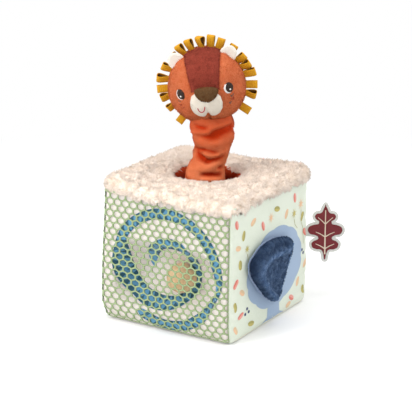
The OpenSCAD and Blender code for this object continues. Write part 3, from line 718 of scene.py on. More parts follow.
# The strands of the same plush and velour, darker at their roots as painted shade down among them, and
# with the same painted shade in their folds
FACE_PILE = tuft_finish("orange_minky_pile", "#B64620", "#D4784A", "#CA6536")
STRIPE_PILE = tuft_finish("rust_minky_pile", "#6C241A", "#944332", "#863528")
WHITE_PILE = tuft_finish("ivory_minky_pile", "#CFC1AF", "#EADFD4", "#E2D6C8")
NOSE_PILE = tuft_finish("cocoa_minky_pile", "#482A10", "#6F4522", "#643B1C")
NECK_PILE = tuft_finish("orange_velour_pile", "#E86A34", "#FF9C6C", "#FC7E48", deep="#CF3604")
NAVY_PILE = tuft_finish("navy_minky_pile", "#3E5678", "#90AEDA", "#526E98", deep="#1E2E48",
    patch=5, low=0.38, high=0.62)
# Grosgrain ribbon: fine ribs across it, and darker inside its loops
RIBBON = thread_finish("ochre_ribbon", "#DBA021", "#D09518", pitch=0.8, gloss=0.8)
RIBBON_BACK = thread_finish("umber_ribbon", "#8C6022", "#70491A", pitch=0.8, gloss=0.8)
# Rayon embroidery thread in satin stitch: close parallel strands with a silky shine
EYE_THREAD = thread_finish("umber_thread", "#33251C", "#20160F", pitch=0.55)
WHITE_THREAD = thread_finish("white_thread", "#FAF8F4", "#E6E2DA", pitch=0.55)
RED_THREAD = thread_finish("red_thread", "#C2404A", "#A82E38", pitch=0.5)
GREY_THREAD = thread_finish("grey_thread", "#6E6258", "#544A42", pitch=0.5)
RUST_THREAD = thread_finish("rust_thread", "#B5482C", "#96361F", pitch=0.5)
# Turned beech with fine pores along the grain, under a dull wax
BEECH = hard_finish("waxed_beech", "#EBCB9E", "#D9B384", 5, 0.5, depth=0.04, stretch=(1, 1, 0.12))
# Inside the cube and the head: matt, porous polyurethane foam; brown fibrous hardboard; moulded
# ABS, smooth with a low shine; bright zinc-plated spring wire; pale, soft polyester wadding
FOAM = hard_finish("upholstery_foam", "#F3EDDD", "#E4DCC6", 1.2, 0.95, depth=0.5)
BOARD = hard_finish("hardboard", "#C9A878", "#A98655", 1.5, 0.8, depth=0.1)
MOULDED = hard_finish("moulded_abs", "#E9E5DB", "#DFDACD", 0.8, 0.45, depth=0.02)
ZINC = hard_finish("zinc_wire", "#C4C7C9", "#A9ADB0", 1.5, 0.32, metallic=1.0, depth=0.02)
WADDING = pile("polyester_wadding", "#F8F6F0", "#E9E6DC", tuft=3, patch=12, depth=1.5, sheen=0.2)

for nodes, finish in (
        (("front_foam", "right_foam", "back_foam", "left_foam", "base_foam", "top_foam"), FOAM),
        (("base_board",), BOARD), (("head_stuffing",), WADDING), (("ball",), BEECH),
        (("spring_seat", "sleeve_clamp", "spring_disc", "neck_knob", "head_socket"), MOULDED),
        (("seat_screws", "knob_clip"), ZINC)):
    for node in nodes:
        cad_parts[node].data.materials.clear()
        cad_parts[node].data.materials.append(finish)

for name, side in (("right_cover", RIGHT), ("back_cover", BACK), ("left_cover", LEFT)):
    make_cover(name, side)
make_base()


# ---------------------------------------------------------------- prints on the right side

def on_right(u, v):
    """A print's place: u is the distance behind the cube's middle, v the height."""
    return wall(RIGHT, np.asarray(u) - MID_Y, v, 0.22)


def tree_outlines():
    """The scalloped crown and the broad trunk of the round tree behind the flap."""
    turn = full_turn(120)
    puff = 1 + 0.045 * np.abs(np.sin(turn * 5.5 + 0.4)) ** 0.6
    crown = np.stack([5 + 52 * puff * np.cos(turn), 58 + 40 * puff * np.sin(turn)], 1)
    trunk = [(-22, 2.5), (-10, 8), (-9, 24), (14, 24), (15, 8), (28, 2.5), (16, 4.5), (3, 3), (-12, 4.5)]
    return crown, trunk


for name, outline in zip(("tree_print", "trunk_print"), tree_outlines()):
    lay_print(name, [outline], PERIWINKLE, on_right)

LEAVES = (
    # behind the middle, height, turn in degrees, colours
    (-68, 122, 25, "coral"), (-56, 108, -15, "olive"), (-66, 98, 70, "peach"), (-38, 117, -60, "peach"),
    (-20, 108, 20, "coral"), (8, 118, 75, "olive"), (26, 108, -30, "peach"), (44, 120, 10, "coral"),
    (60, 96, -20, "olive"), (66, 78, 35, "coral"), (-62, 80, 10, "olive"), (-68, 62, -35, "coral"),
    (-57, 50, 55, "peach"), (-68, 38, 5, "olive"), (-58, 26, -70, "coral"), (-68, 14, 30, "peach"),
    (-40, 12, 80, "olive"), (40, 14, 60, "coral"), (52, 28, -20, "peach"), (64, 16, 20, "olive"),
    (66, 44, -40, "peach"), (34, 8, -75, "peach"))
LEAF_LONG, LEAF_WIDE = 10.5, 5.6
PAIRS = {"coral": (CORAL, ROSE), "peach": (PEACH, SAND), "olive": (OLIVE, MOSS)}
for colour, finishes in PAIRS.items():
    halves = [leaf_halves(u, v, LEAF_LONG, LEAF_WIDE, math.radians(turn))
        for u, v, turn, kind in LEAVES if kind == colour]
    for half, (shade, finish) in enumerate(zip(("light", "dark"), finishes)):
        lay_print(f"{colour}_leaves_{shade}", [h[half] for h in halves], finish, on_right)

lay_print("peach_stars", [star(-4, 112, 6, turn=0.2), star(57, 110, 6.5, turn=0.1)], PEACH, on_right)
lay_print("olive_stars", [star(42, 104, 6, turn=0.3), star(-50, 93, 5, turn=0.5)], OLIVE, on_right)
stalks = [stroke([(57, 104), (58, 92), (62, 82), (63, 66)], 0.9),
    stroke([(42, 98), (44, 92), (50, 86)], 0.9), stroke([(-50, 88), (-48, 80), (-49, 70)], 0.9)]
lay_print("stalks_print", stalks, MOSS, on_right)
berry = 1.7 * np.stack([np.cos(np.arange(12) * math.pi / 6), np.sin(np.arange(12) * math.pi / 6)], 1)
lay_print("berries_print", [berry + at for at in ((-47, 30), (-44, 26), (-50, 25), (60, 60), (63, 56))],
    NAVY_PRINT, on_right)


# ---------------------------------------------------------------- the front: panel, print and net

# The hollow for the ball: how far the panel lies behind the cover line at its rim, how deep it is
# along the ball's track, the track's height and half length, and the hollow's reach past it to the
# sides, upwards and downwards
RIM_GAP, TRACK_DEEP = 1.4, 29.0
TRACK_Z, TRACK_HALF = 54.0, 38.0
REACH_SIDE, REACH_UP, REACH_DOWN = 22, 38, 33


def dish(across, z, out=0.0):
    """The front panel: it lies close behind the net at its edges, and is hollowed for the ball,
    deepest along the ball's track."""
    across, z = np.broadcast_arrays(np.asarray(across, float), np.asarray(z, float))
    past = np.hypot(np.maximum(np.abs(across) - TRACK_HALF, 0) / REACH_SIDE,
        (z - TRACK_Z) / np.where(z > TRACK_Z, REACH_UP, REACH_DOWN))
    deep = np.clip(1 - past ** 2.6, 0, 1) ** 1.5
    flat = np.stack([across.ravel(), z.ravel(), np.full(across.size, 3.0)], 1)
    creases = wander(flat, 17, 2.0).reshape(across.shape) * 0.8
    points = wall(FRONT, across, z, -RIM_GAP, False)
    points[..., 1] += TRACK_DEEP * deep + creases * (1 - np.abs(2 * deep - 1)) - out
    return points


def make_panel():
    """The cloth behind the net, which the band is printed on."""
    run = side_run(FRONT) - 0.6
    x = np.linspace(-run, run, 105)
    z = np.linspace(1.8, 138, 97)
    points = dish(x[None, :], z[:, None])
    made = piece("front_panel", points.reshape(-1, 3), quads(97, 105), PANEL, "box", "panel_cloth",
        ["front_panel"])
    thicken(made, COTTON)


# The band is laid out so that its turns look even through the net from the front corner: how far
# a place shifts across and up for each millimetre of the hollow behind it
SLANT = np.array((0.5, 0.3))
# Half the band's width, and the marks along its edges: a pitch apart, with this share of it wide
BAND_HALF = 5.3
MARK_PITCH, MARK_SHARE = 7.4, 0.94


def spiral_band():
    """The middle line of a band that winds in from the rim, with its side, half width and length."""
    turn = np.linspace(0, 1.86, 241)
    angle = math.radians(-125) + turn * math.radians(360)
    radius = np.interp(turn, (0, 0.4, 0.78, 0.95, 1.15, 1.5, 1.7, 1.86),
        (60, 58, 60, 45, 34, 31, 26, 17))
    radius = smooth_rows(radius, 40)
    even = np.stack([3 + radius * np.cos(angle), 66 + 0.97 * radius * np.sin(angle)], 1)
    path = even
    for _ in range(40):
        hollow = dish(*path.T)[:, 1] - wall(FRONT, *path.T, -RIM_GAP, False)[:, 1]
        path = 0.7 * path + 0.3 * (even - SLANT * hollow[:, None])
    path = smooth_rows(path, 6)
    ahead = np.gradient(path, axis=0)
    length = np.concatenate([[0], np.cumsum(np.linalg.norm(np.diff(path, axis=0), axis=1))])
    ahead = unit(ahead)
    side = np.stack([-ahead[:, 1], ahead[:, 0]], 1)
    half = BAND_HALF * np.sqrt(np.clip(np.minimum(length / 6, (length[-1] - length) / 14), 0.02, 1))
    return path, side, half, length


def band_pieces():
    """Outlines of the light blue band, and of the dark triangles along both its edges."""
    path, side, half, length = spiral_band()
    band, marks = [], []
    for i in range(0, len(path) - 3, 3):
        cut = slice(i, i + 4)
        wide = side[cut] * half[cut, None]
        band.append(np.concatenate([path[cut] - wide, (path[cut] + wide)[::-1]]))

    def at(along, across):
        point = [np.interp(along, length, path[:, k]) for k in (0, 1)]
        normal = [np.interp(along, length, side[:, k]) for k in (0, 1)]
        return (point[0] + normal[0] * across, point[1] + normal[1] * across)

    for k in range(1, int(length[-1] / MARK_PITCH) - 1):
        width = float(np.interp(k * MARK_PITCH, length, half))
        reach = MARK_SHARE * MARK_PITCH / 2
        for s in (-1, 1):
            mid = (k + 0.5 * (s > 0)) * MARK_PITCH
            corners = [at(mid - reach, s * width * 0.98), at(mid + reach, s * width * 0.98),
                at(mid, s * width * 0.06)]
            marks.append(corners if s < 0 else corners[::-1])
    return band, marks


def off_panel(u, v, out):
    """Place a distance off the front panel."""
    across = dish(u + 0.5, v) - dish(u - 0.5, v)
    normal = np.cross(across, dish(u, v + 0.5) - dish(u, v - 0.5))
    return dish(u, v) + normal * (out / np.linalg.norm(normal, axis=-1))[..., None]


# The net: its lower and upper edge, its meshes' pitch across and up, and its threads' width and
# thickness
NET_LOW, NET_HIGH = 3.2, 137.0
NET_PITCH, NET_ROW, NET_THREAD, NET_THICK = 9.2, 6.15, 1.7, 0.9
# Points round a mesh, three for each side
NET_ROUND = 18


def make_net():
    """Threads of a hexagonal net, each mesh a ring, drawn tight over the bulging front."""
    run = side_run(FRONT) - 0.4
    corners = [(0.0, 0.5), (0.5, 0.25), (0.5, -0.25), (0.0, -0.5), (-0.5, -0.25), (-0.5, 0.25)]
    tall = NET_ROW * 4 / 3
    outer = []
    for k in range(6):
        a, b = np.array(corners[k]), np.array(corners[(k + 1) % 6])
        outer += [a + (b - a) * f for f in (0, 1 / 3, 2 / 3)]
    outer = np.array(outer) * (NET_PITCH, tall)
    angle = np.arctan2(outer[:, 1], outer[:, 0])
    oval = np.stack([np.cos(angle) * (NET_PITCH - NET_THREAD) / 2,
        np.sin(angle) * (tall - NET_THREAD) / 2], 1)
    hexagon = outer * ((NET_PITCH - NET_THREAD * 1.1) / NET_PITCH)
    inner = 0.55 * oval + 0.45 * hexagon
    middle = (outer + inner) / 2
    points, faces, values, known = [], [], [], {}

    def vertex(p, value):
        key = (round(p[0], 2), round(p[1], 2), value)
        if key not in known:
            known[key] = len(points)
            points.append(p)
            values.append(value)
        return known[key]

    rows = int((NET_HIGH - NET_LOW) / NET_ROW) + 2
    for row in range(rows):
        z = NET_LOW + row * NET_ROW
        for col in range(-9, 10):
            x = (col + 0.5 * (row % 2)) * NET_PITCH
            if abs(x) > run + 2 or z > NET_HIGH + 3:
                continue
            rings = []
            for ring, value in ((outer, 0.0), (middle, 0.35), (inner, 1.0)):
                placed = ring + (x, z)
                placed[:, 0] = np.clip(placed[:, 0], -run, run)
                placed[:, 1] = np.clip(placed[:, 1], NET_LOW, NET_HIGH)
                rings.append([vertex(tuple(p), value) for p in placed])
            for a, b in zip(rings, rings[1:]):
                for k in range(NET_ROUND):
                    face = (a[k], b[k], b[(k + 1) % NET_ROUND], a[(k + 1) % NET_ROUND])
                    if len(set(face)) == 4:
                        faces.append(face)
    flat = np.array(points)
    edge = np.array(values)
    made = piece("front_net", wall(FRONT, flat[:, 0], flat[:, 1], 0.5 - 0.45 * edge, False), faces, NET,
        "box", "green_net", ["front_net"], values={"edge": edge ** 1.5})
    bm = bmesh.new()
    bm.from_mesh(made.data)
    bmesh.ops.remove_doubles(bm, verts=bm.verts, dist=0.02 * MM)
    bmesh.ops.dissolve_degenerate(bm, edges=bm.edges, dist=0.02 * MM)
    bmesh.ops.recalc_face_normals(bm, faces=bm.faces)
    bm.to_mesh(made.data)
    bm.free()
    thicken(made, NET_THICK, offset=0.0)


make_panel()
band, marks = band_pieces()
lay_print("spiral_print", band, SKY, lambda u, v: off_panel(u, v, 0.5), 2.0, "panel_cloth")
lay_print("spiral_marks_print", marks, TEAL, lambda u, v: off_panel(u, v, 0.75), 2.0, "panel_cloth")
make_net()

# ---------------------------------------------------------------- fur

# The furry top's edge: half width, front, back, corner radius, and the radius that it turns over
FUR_X, FUR_FRONT, FUR_BACK = 77.0, -80.6, 77.0
FUR_CORNER, FUR_DROP = 13.0, 11.0
# Its roll into the hole, row by row: radius, and height from the crown
FUR_ROLL = ((36, -4), (35.2, -3), (35, -2), (35.6, -1.2), (37.4, -0.4), (40, 0))
# Heights of the furry top's backing, at places round its edge and round the hole
CROWN = np.array([(-75, -79, 150), (-75, -30, 148), (-75, 20, 147.5), (-75, 58, 147), (-70, 75, 143.5),
    (-30, 75, 143.5), (10, 75, 143.5), (45, 75, 146), (75, 75, 147), (75, 30, 147), (75, -20, 145),
    (75, -79, 143), (30, -79, 144), (-25, -79, 146), (-40, 0, 147.5), (40, 0, 146), (0, -42, 146.5),
    (0, 42, 144), (-30, 30, 147), (30, -30, 146)])


def crown_height(x, y):
    """Height of the backing, smoothed between the places above."""
    away = (x[..., None] - CROWN[:, 0]) ** 2 + (y[..., None] - CROWN[:, 1]) ** 2 + 150
    weight = away ** -2
    return (weight * CROWN[:, 2]).sum(-1) / weight.sum(-1)


def fur_reach(turn):
    """Distance from the axis to the edge of the furry top in a direction, by small steps."""
    best = np.full(turn.shape, 30.0)
    for r in np.arange(60, 125, 0.25):
        x = AXIS[0] + r * np.cos(turn)
        y = AXIS[1] + r * np.sin(turn)
        mid = (FUR_FRONT + FUR_BACK) / 2
        dx = np.abs(x) - (FUR_X - FUR_CORNER)
        dy = np.abs(y - mid) - ((FUR_BACK - FUR_FRONT) / 2 - FUR_CORNER)
        inside = np.where((dx > 0) & (dy > 0), np.hypot(dx, dy) < FUR_CORNER,
            np.maximum(dx, dy) < FUR_CORNER)
        best = np.where(inside, r, best)
    return best


def fur_surface(first, last):
    """Points and faces of the furry top between two rows: 0 to 5 roll into the hole, 6 to 30 run
    out over the top, and 31 to 38 turn over the edge and hang down."""
    turn = full_turn(240)
    reach = fur_reach(turn)
    reach = (np.roll(reach, 1) + reach * 2 + np.roll(reach, -1)) / 4
    reach = reach - 4 * hill(turn - math.radians(226), 0.3)
    ragged = 1 + 0.05 * np.sin(3 * turn + 1) + 0.04 * np.sin(5 * turn)
    flat_from, lift = FUR_ROLL[-1]
    rows = []
    for k in range(first, last + 1):
        if k < 6:
            r, lift = FUR_ROLL[k]
            r = r * (1 + (ragged - 1) * (1 - k / 8))
        elif k <= 30:
            r = flat_from + (reach - FUR_DROP - flat_from) * (k - 5) / 25
        else:
            bend = min((k - 30) / 5, 1) * math.pi / 2
            r = reach - FUR_DROP + FUR_DROP * math.sin(bend) - 2.4 * max(k - 37, 0)
            lift = -0.72 * FUR_DROP * (1 - math.cos(bend))
        x, y = AXIS[0] + r * np.cos(turn), AXIS[1] + r * np.sin(turn)
        z = crown_height(x, y) + lift
        if k > 35:
            low = 135.8 + 1.2 * np.sin(3 * turn + 2.4) + 0.9 * np.sin(7 * turn)
            z = z + (low - z) * (k - 35) / 3
        rows.append(np.stack([x, y, z], 1))
    return np.concatenate(rows), flipped(quads(len(rows), len(turn), False, True))


# The fur's piles: first and last row, tufts, their length, how they hang, and how far they are lit
# from above
FUR_PILES = {"inner": (6, 19, 12500, 5.6, 0.0, 0.5), "outer": (19, 31, 18500, 5.6, 0.0, 0.5),
    "edge": (31, 36, 13000, 5.5, 0.3, 0.5), "skirt": (36, 37, 8000, 4.6, 0.9, 0.8),
    "collar": (2, 6, 3000, 4.2, 0.0, 0.5)}


def make_fur():
    """The furry top: its backing, the collar that rolls into the hole, and their fur."""
    backing = piece("fur_backing", *fur_surface(5, 38), FUR_BACKING, "box", "cream_fur", ["fur_top"])
    thicken(backing, 1.2)
    inner = piece("fur_collar", *fur_surface(0, 6), FUR_BACKING, "box", "cream_fur", ["fur_collar"])
    thicken(inner, 1.0)
    for part, (first, last, count, length, droop, raised) in FUR_PILES.items():
        grow_pile(f"fur_pile_{part}", fur_surface(first, last), count, length, 1.35, FUR, "box",
            "cream_fur", droop=droop, raised=raised, brushed=0.14)


make_fur()


# ---------------------------------------------------------------- the hole's cuff, the well and the neck

def around(profile, cols, ripple):
    """Points and faces of a surface of revolution round the axis, with a ripple added to its radius
    and height."""
    turn = full_turn(cols)
    rows = []
    for k, (r, z) in enumerate(profile):
        dr, dz = ripple(turn, k / (len(profile) - 1))
        rows.append(np.stack([AXIS[0] + (r + dr) * np.cos(turn), AXIS[1] + (r + dr) * np.sin(turn),
            np.full(cols, z) + dz], 1))
    return np.concatenate(rows), quads(len(rows), cols, False, True)


def make_cuff():
    """Velour sewn to the hole's edge, hanging in soft folds."""
    profile = [(36.2, 144.4), (33.8, 143.2), (32, 140), (31.5, 135), (34, 129), (39, 122)]

    def ripple(turn, t):
        folds = np.sin(7 * turn + 0.8) + 0.6 * np.sin(11 * turn + 2.2) + 0.4 * np.sin(4 * turn)
        return 1.9 * folds * t, 0.8 * np.sin(5 * turn) * t

    # Painted shade, growing darker down into the hole
    made = piece("mouth_cuff", *around(profile, 160, ripple), SHADED_LINING, "box", "orange_velour",
        ["mouth_cuff"], values={"painted_shade": np.repeat(np.linspace(0, 0.8, len(profile)), 160)})
    thicken(made, 1.0, subdivide=1)


def make_lining():
    """The well's velour bag: wide under the cuff, drawn in to the seat at the bottom."""
    profile = [(42, 128), (49.5, 125), (51, 110), (50.5, 85), (50.5, 60), (50, 40), (46, 28), (38, 23.5),
        (30.5, 23)]

    def ripple(turn, t):
        folds = np.sin(9 * turn + 1) + 0.5 * np.sin(14 * turn)
        squared = np.abs(np.cos(2 * turn + math.pi / 2)) ** 1.2
        squared = 4.0 * squared * smooth_step(t, 0.05, 0.3) * (1 - smooth_step(t, 0.7, 0.95))
        front = np.clip(-np.sin(turn), 0, 1) ** 3
        front = 9.5 * front * smooth_step(t, 0.05, 0.2) * (1 - smooth_step(t, 0.75, 1))
        return 0.8 * folds * math.sin(math.pi * t) + squared - front, np.zeros_like(turn)

    points, faces = around(profile, 120, ripple)
    # Painted shade, growing darker down into the well
    made = piece("well_lining", points, flipped(faces), SHADED_LINING, "box", "orange_velour",
        ["well_lining"], values={"painted_shade": np.repeat(np.linspace(0.35, 1.0, len(profile)), 120)})
    thicken(made, 0.9, offset=1.0, subdivide=1)


def evened(knots, count):
    """A table of values by height, spread over many even heights and smoothed."""
    fine = np.linspace(knots[0, 0], knots[-1, 0], count)
    columns = [smooth_rows(np.interp(fine, knots[:, 0], column), 2) for column in knots[:, 1:].T]
    return np.stack([fine, *columns], 1)


# The neck: height, sideways bow and half width, seen from where its bow shows most
NECK_FORM = evened(np.array([(21.5, 0, 18.6), (60, -0.5, 19), (110, -1.8, 20), (132, -2.4, 20.5),
    (141, -2.4, 20.2), (148, -1.9, 19.4), (155, 0.0, 17.8), (160, 1.9, 17.2), (167, 4.4, 17.2),
    (173, 6.0, 17.4), (180, 6.2, 19.0), (188, 6.2, 21.2), (197.5, 6.0, 21.4), (204, 3.9, 21.2),
    (207, 2.4, 20.6)]), 60)
SLEEVE_TOP = 207
BOW_TURN = math.radians(32)
# The plastic disc at the neck's top, which holds the sleeve out: reach, and height of its middle
DISC_REACH, DISC_Z = 16.6, 194.5
# The radius that the folds are laid out on, and how much they stand up
FOLD_ROUND, FOLD_HEIGHT = 19, 1.45
# Folds of the sleeve: ends as (turn from the front in degrees, height), half width, rise
FOLDS = (
    ((-48, 197.8), (-14, 196.4), 2.8, -2.0), ((-75, 190.5), (-15, 194), 3.0, 1.3),
    ((-15, 194), (14, 200.5), 2.8, 1.9), ((14, 200.5), (60, 202.5), 3.4, 1.2),
    ((-34, 188.6), (-6, 189.6), 2.8, -1.5), ((2, 193.6), (62, 196), 4.0, -2.9),
    ((-12, 185.5), (18, 189.5), 4.5, -1.5), ((62, 196), (88, 193), 3.0, -1.4),
    ((-70, 181), (40, 181), 5.0, 0.9), ((-80, 173.2), (-31, 174.2), 2.4, -1.7),
    ((-31, 174.2), (16, 171.4), 2.2, -1.7), ((-26, 170.6), (-4, 167.6), 2.8, 1.7),
    ((10, 168.5), (45, 171), 3.4, 0.8), ((-62, 168.6), (-32, 165.6), 3.2, -2.2),
    ((-32, 165.6), (-6, 162.4), 3.3, -2.7), ((-6, 162.4), (38, 165.8), 2.8, -2.2),
    ((-60, 155), (24, 156.5), 5.5, 1.0), ((38, 155), (60, 154), 2.4, -1.5),
    ((-10, 149.3), (17, 149), 2.4, -2.2), ((17, 149), (54, 146.8), 2.5, -1.9),
    ((-5, 145), (45, 143.4), 2.4, 1.0), ((-95, 143), (-50, 139), 3.5, -1.2),
    ((100, 190), (170, 183), 2.6, -1.9), ((150, 176), (225, 181), 2.3, -1.7),
    ((105, 170), (190, 163), 2.5, -1.9), ((160, 150), (240, 157), 2.4, -1.6),
    ((215, 190), (275, 187), 2.2, -1.3), ((120, 197), (200, 195), 4.5, 1.4),
    ((180, 171), (255, 167), 4.0, 1.4), ((110, 157), (170, 150), 4.0, 1.2),
    ((225, 165), (275, 160), 2.2, -1.5), ((95, 152), (130, 147), 2.2, -1.4),
    ((180, 188), (230, 185), 3.5, 1.2), ((95, 180), (150, 177), 3.5, 1.1))


def neck_point(turn, z):
    """Point on the sleeve, and how far its folds stand out there; turn is the angle from the front
    of the bow, in degrees."""
    bow = np.interp(z, NECK_FORM[:, 0], NECK_FORM[:, 1])
    half = np.interp(z, NECK_FORM[:, 0], NECK_FORM[:, 2])
    rise = np.zeros(turn.shape)
    per_degree = FOLD_ROUND * math.pi / 180
    for (t0, z0), (t1, z1), width, height in FOLDS:
        ex, ez = (t1 - t0) * per_degree, z1 - z0
        px, pz = ((turn - t0 + 180) % 360 - 180) * per_degree, z - z0
        share = np.clip((px * ex + pz * ez) / (ex * ex + ez * ez), 0, 1)
        away = np.hypot(px - share * ex, pz - share * ez)
        ends = 1 - 0.35 * np.abs(2 * share - 1) ** 3
        rise = rise + FOLD_HEIGHT * height * hill(away, width) * ends
    # Down in the well the sleeve lies in even wrinkles
    wrinkles = 1.3 * np.sin(z / 2.9 + 1.2 * np.sin(np.radians(turn) + z / 23))
    rise = rise + (1 - smooth_step(z, 128, 140)) * wrinkles
    r = half + rise
    angle = np.radians(turn)
    right, front = r * np.sin(angle) + bow, r * np.cos(angle)
    x = AXIS[0] + right * math.cos(BOW_TURN) + front * math.sin(BOW_TURN)
    y = AXIS[1] + right * math.sin(BOW_TURN) - front * math.cos(BOW_TURN)
    off_x, off_y = x - AXIS[0], y - AXIS[1]
    away = np.hypot(off_x, off_y)
    beside = hill(np.maximum(np.abs(z - DISC_Z) - 2.5, 0), 2)
    held = 1 + np.maximum(DISC_REACH - away, 0) / away * beside
    return np.stack([AXIS[0] + off_x * held, AXIS[1] + off_y * held, z], -1), rise


def make_neck():
    """The velour sleeve over the spring, with its pile where it shows."""
    cols = 144
    heights = np.concatenate([np.linspace(NECK_LOW, 132, 75), np.linspace(132.7, SLEEVE_TOP, 100)])
    turn, z = np.meshgrid(np.linspace(0, 360, cols + 1)[:-1], heights)
    points, rise = neck_point(turn, z)
    flat = points.reshape(-1, 3)
    fuzz = wander(flat, 3.0, 3.0) * 0.15 + wander(flat, 11, 4.0) * 0.5
    outward = (flat - np.array(AXIS)) * (1, 1, 0)
    outward = unit(outward)
    flat = flat + outward * fuzz[:, None]
    faces = quads(len(heights), cols, False, True)
    # Painted shade: darker and more saturated in the valleys between the folds, down in the well, and
    # towards the top where the head's shadow falls
    painted_shade = np.clip(-rise / 2.6, 0, 1).ravel() ** 0.8
    painted_shade = np.maximum(painted_shade, (1 - smooth_step(flat[:, 2], 126, 142)) * 0.5)
    shade = np.interp(flat[:, 2], (150, 166, 196), (0, 0.25, 0.58))
    painted_shade = 1 - (1 - painted_shade) * (1 - shade)
    made = piece("neck_sleeve", flat, faces, VELOUR, "box", "orange_velour", ["neck_sleeve"],
        values={"painted_shade": painted_shade})
    thicken(made, 1.1)
    shown = [f for f in faces if heights[f[0] // cols] > 126]
    nap = grow_pile("neck_pile", (flat, shown), 15000, 1.1, 0.5, NECK_PILE, "box", "orange_velour",
        lean=2.2, clump=6.0, raised=0.1, folds=painted_shade)
    for soft in (made, nap):
        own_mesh(soft)


# The coil spring: the seat and the disc that it stands between, the heights of its ends, its
# turns, and the radius of its coil and its wire
SPRING_LOW, SPRING_HIGH = 22.4, 192.1
COIL_TURNS, COIL_R, WIRE_R = 12, 12.3, 1.1


def make_spring():
    """The coil spring: bright round wire that bows with the neck and narrows a little half way."""
    t = np.linspace(0, 1, COIL_TURNS * 28 + 1)
    z = SPRING_LOW + (SPRING_HIGH - SPRING_LOW) * t
    bow = np.minimum(np.interp(z, NECK_FORM[:, 0], NECK_FORM[:, 1]), 0.26 * (SPRING_HIGH - z))
    angle = 2 * math.pi * COIL_TURNS * t
    r = COIL_R - 0.9 * np.sin(np.pi * t)
    path = np.stack([AXIS[0] + bow * math.cos(BOW_TURN) + r * np.cos(angle),
        AXIS[1] + bow * math.sin(BOW_TURN) + r * np.sin(angle), z], 1)
    made = piece("spring", *tube(path, WIRE_R, 8), ZINC, "box", "steel", ["spring"])
    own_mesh(made)


make_cuff()
make_lining()
make_neck()
make_spring()

# ---------------------------------------------------------------- the head

HEAD_MATRIX = np.array(Matrix.Rotation(HEAD_YAW, 3, "Z") @ Matrix.Rotation(HEAD_ROLL, 3, "Y"))
HEAD_RADII = np.array((HEAD_R, HEAD_DEEP, HEAD_R))
# The stripe: half its width at the head's middle, how fast it widens upwards, and its lower end
STRIPE_X, STRIPE_FLARE, STRIPE_LOW = 13.75, 0.139, 1.0
# The stuffing: how far it may bulge between the seams, and its simulation's scale, inner pressure
# and frames
BULGE = 0.9
TRIAL_SCALE, TRIAL_PRESSURE, TRIAL_FRAMES = 20, 40.0, 20
# The eyes: place across and up, half width, half height and tilt
EYES = ((-24.4, -0.7, 3.6, 5.4, math.radians(14)), (23.0, 0.5, 4.0, 5.3, math.radians(8)))
# Where the plush is sewn to what lies on it: middle across and up, half width, half height
SEWN_ON = ((-0.5, -10, 18.5, 14.5), (1, 0, 14, 8), (-24.4, -0.7, 7, 8), (23, 0.5, 7, 8), (-25, -11, 5, 6),
    (24, -11, 5, 7))


def stand_head(points):
    """From the head's own frame, facing -Y about its middle, to where it stands on the neck."""
    return np.asarray(points, float) @ HEAD_MATRIX.T + np.array(HEAD)


def head_piece(name, shape, finish, slot, nodes=(), values=None):
    """A piece of the head, from points in the head's frame and faces."""
    return piece(name, stand_head(shape[0]), shape[1], finish, "head", slot, nodes, values=values)


def head_radius(d):
    """How far the head's plush lies from its middle along unit directions, as a share of the
    plain egg: full cheeks, a shallow dip over the nose and the chin's parting."""
    x, y, z = d[:, 0], d[:, 1], d[:, 2]
    full = 1 + 0.035 * hill(np.abs(x) - 0.72, 0.34) * hill(z + 0.42, 0.5)
    full = full - 0.045 * hill(x + 0.12, 0.3) * hill(z - 0.28, 0.2) * (y < 0)
    full = full + 0.02 * hill(x, 0.25) * hill(z - 0.75, 0.3)
    full = full - 0.018 * hill(x - 0.02, 0.05) * (z < -0.7) * (y < 0.15)
    return full


def seam_depth(p):
    """How far the seams pull the plush in at points in the head's frame, from 0 to 1."""
    x, y, z = p[:, 0], p[:, 1], p[:, 2]
    tilt = math.sqrt(1 + STRIPE_FLARE ** 2)
    to_stripe = np.abs(np.abs(x) - (STRIPE_X + STRIPE_FLARE * z)) / tilt
    stripe = hill(to_stripe, 1.0) * (y < 3) * smooth_step(z, STRIPE_LOW - 3, STRIPE_LOW)
    side = hill(y, 1.3)
    chin = hill(x, 0.9) * smooth_step(-z, 22, 26) * (y < 3)
    back = hill(x, 1.2) * (y > 0)
    return np.maximum.reduce([stripe, side, chin, 0.8 * back])


def lumps(p):
    """How far the stuffing stands out unevenly at points in the head's frame."""
    return wander(p, 16, 7.0) * 0.45


def head_skin(p):
    """Puts points in directions from the head's middle onto the plush, and gives its seams' pull."""
    d = p / np.linalg.norm(p / HEAD_RADII, axis=1)[:, None]
    d = d * head_radius(d / HEAD_RADII)[:, None]
    pull = seam_depth(d)
    length = np.linalg.norm(d, axis=1)
    return d * (1 + (lumps(d) - 0.9 * pull) / length)[:, None], pull


def face_at(x, z, out=0.0):
    """Point on the front of the head at a place seen from the front, lifted out of the plush."""
    x, z = np.broadcast_arrays(np.asarray(x, float), np.asarray(z, float))
    x, z = x.ravel(), z.ravel()
    y = -HEAD_DEEP * np.sqrt(np.clip(1 - (x ** 2 + z ** 2) / HEAD_R ** 2, 0.02, 1))
    p = np.stack([x, y, z], 1)
    full = head_radius(unit(p / HEAD_RADII))
    normal = unit(p / HEAD_RADII ** 2)
    lift = lumps(p) + np.ravel(out)
    p[:, 1] *= full
    return p + normal * lift[:, None]


